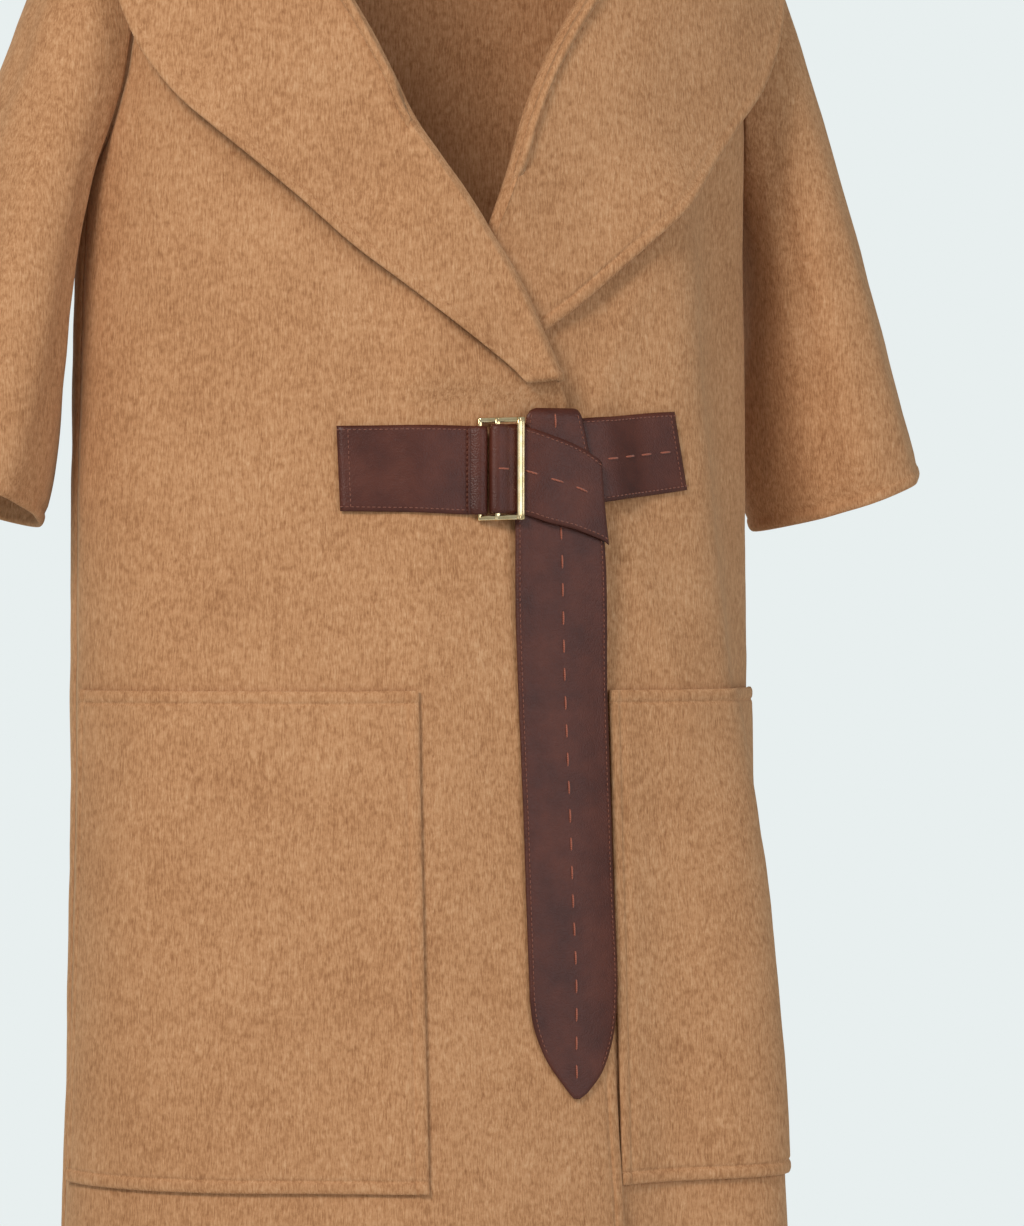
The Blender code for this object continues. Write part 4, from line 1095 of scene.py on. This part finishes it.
def sweepBar(path, width, height, groove=0.0):
    # A bar along a path of points with outward directions, its ends closed by shrinking rings
    vertices, faces = [], []
    profile = barProfile(width, height, groove)
    count = len(profile)
    stations = []
    for i, (spot, out) in enumerate(path):
        before, after = path[max(i - 1, 0)][0], path[min(i + 1, len(path) - 1)][0]
        along = (after - before).normalized()
        stations.append((spot, along, out, 1.0))
    spot, along, out, _ = stations[0]
    capped = [(spot - along * past, along, out, size) for past, size in buckleSet["caps"]] + stations
    spot, along, out, _ = stations[-1]
    capped += [(spot + along * past, along, out, size) for past, size in reversed(buckleSet["caps"])]
    for spot, along, out, size in capped:
        cross = along.cross(out).normalized()
        straight = cross.cross(along).normalized()
        vertices += [spot + cross * a * size + straight * b * size for a, b in profile]
    for r in range(len(capped) - 1):
        for k in range(count):
            a, b = r * count + k, r * count + (k + 1) % count
            faces.append((a, b, b + count, a + count))
    faces.append(tuple(reversed(range(count))))
    last = (len(capped) - 1) * count
    faces.append(tuple(range(last, last + count)))
    return vertices, faces


def bucklePath(startAcross, endAcross, startHeight, endHeight, startLift, endLift):
    # Points and outward directions from one place to another; a lift is the height above the cloth
    path = []
    for i in range(buckleSet["steps"] + 1):
        share = i / buckleSet["steps"]
        height = startHeight + (endHeight - startHeight) * share
        across = startAcross + (endAcross - startAcross) * share + buckleTilt * (height - buckleTop)
        azimuth = azimuthAt(across, height)
        lift = startLift + (endLift - startLift) * share
        path.append((body(azimuth, height, lift), bodyOut(azimuth, height)))
    return path


buckleVertices, buckleFaces = [], []


def addBar(path, width, height, groove=0.0):
    # One bar, added to the buckle's mesh
    vertices, faces = sweepBar(path, width, height, groove)
    base = len(buckleVertices)
    buckleVertices.extend(vertices)
    buckleFaces.extend(tuple(base + i for i in face) for face in faces)


middles = {bar.name: ((bar.start + bar.end) / 2.0, (bar.low + bar.high) / 2.0) for bar in buckleBars}
for bar in buckleBars:
    across, lift = middles[bar.name]
    groove = buckleSet["groove"] if bar.name == "front bar" else 0.0
    low, high = buckleBottom + buckleSet["barEnd"], buckleTop - buckleSet["barEnd"]
    path = bucklePath(across, across, low, high, lift, lift)
    addBar(path, bar.end - bar.start, bar.high - bar.low, groove)
for height in (buckleBottom + buckleRail / 2.0, buckleTop - buckleRail / 2.0):
    for first, second in (("hinge bar", "middle bar"), ("middle bar", "front bar")):
        (startAcross, startLift), (endAcross, endLift) = middles[first], middles[second]
        path = bucklePath(startAcross, endAcross, height, height, startLift, endLift)
        addBar(path, buckleRail, buckleSet["railHeight"])
buckle = makeObject("goldBuckle", buckleVertices, buckleFaces, gold)
bpy.context.view_layer.objects.active = buckle
buckle.select_set(True)
bpy.ops.object.mode_set(mode="EDIT")
bpy.ops.mesh.select_all(action="SELECT")
bpy.ops.mesh.normals_make_consistent(inside=False)
bpy.ops.object.mode_set(mode="OBJECT")
buckle.select_set(False)
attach(buckle, "root")
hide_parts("buckle")
print("buckle made")

# Floor and light: a plain pale floor well below the hem, a pale surround, and soft light from the upper left
floorSet = {"radius": 3.2, "height": -1.46}
bpy.ops.mesh.primitive_circle_add(
    vertices=96, radius=floorSet["radius"], fill_type="NGON", location=(0.0, 0.0, floorSet["height"]),
)
floor = bpy.context.object
floor.name = "floor"
floorPaint = newMaterial("paleStudioFloor", {"Roughness": 0.85, "Base Color": linear("#E4E8E8")})[0]
floor.data.materials.append(floorPaint)
bpy.ops.object.transform_apply(location=True, rotation=True, scale=True)

world = bpy.data.worlds.new("paleSurround")
bpy.context.scene.world = world
world.use_nodes = True
backdropSet = {"colour": "#E8EFEF", "seen": 1.0, "lighting": 0.45}
surround = world.node_tree.nodes["Background"]
surround.inputs["Color"].default_value = linear(backdropSet["colour"])
sight = addNode(world.node_tree, "ShaderNodeLightPath")
strength = addNode(world.node_tree, "ShaderNodeMapRange", links={"Value": (sight, "Is Camera Ray")}, values={
    "To Min": backdropSet["lighting"], "To Max": backdropSet["seen"]})
world.node_tree.links.new(strength.outputs["Result"], surround.inputs["Strength"])

lightSet = (
    # Across, towards the camera and up from the point the lights aim at, then size, watts and colour
    ("keyLight", -1.3, 2.6, 1.8, 1.1, 68.0, "#FFF9F2"),
    ("fillLight", 2.3, 2.2, 0.5, 2.2, 25.0, "#F6F9FF"),
    ("backLight", -0.6, -2.6, 1.4, 2.0, 26.0, "#FFFFFF"),
)
aim = Vector((0.0, 0.0, -0.5))
for name, across, near, up, size, watts, colour in lightSet:
    spot = aim + rightward * across + towards * near + Vector((0.0, 0.0, up))
    bpy.ops.object.light_add(type="AREA", location=spot)
    lamp = bpy.context.object
    lamp.name = name
    lamp.data.shape = "DISK"
    lamp.data.size = size
    lamp.data.energy = watts
    lamp.data.color = linear(colour)[:3]
    lamp.rotation_euler = (aim - spot).to_track_quat("-Z", "Y").to_euler()
print("light made")
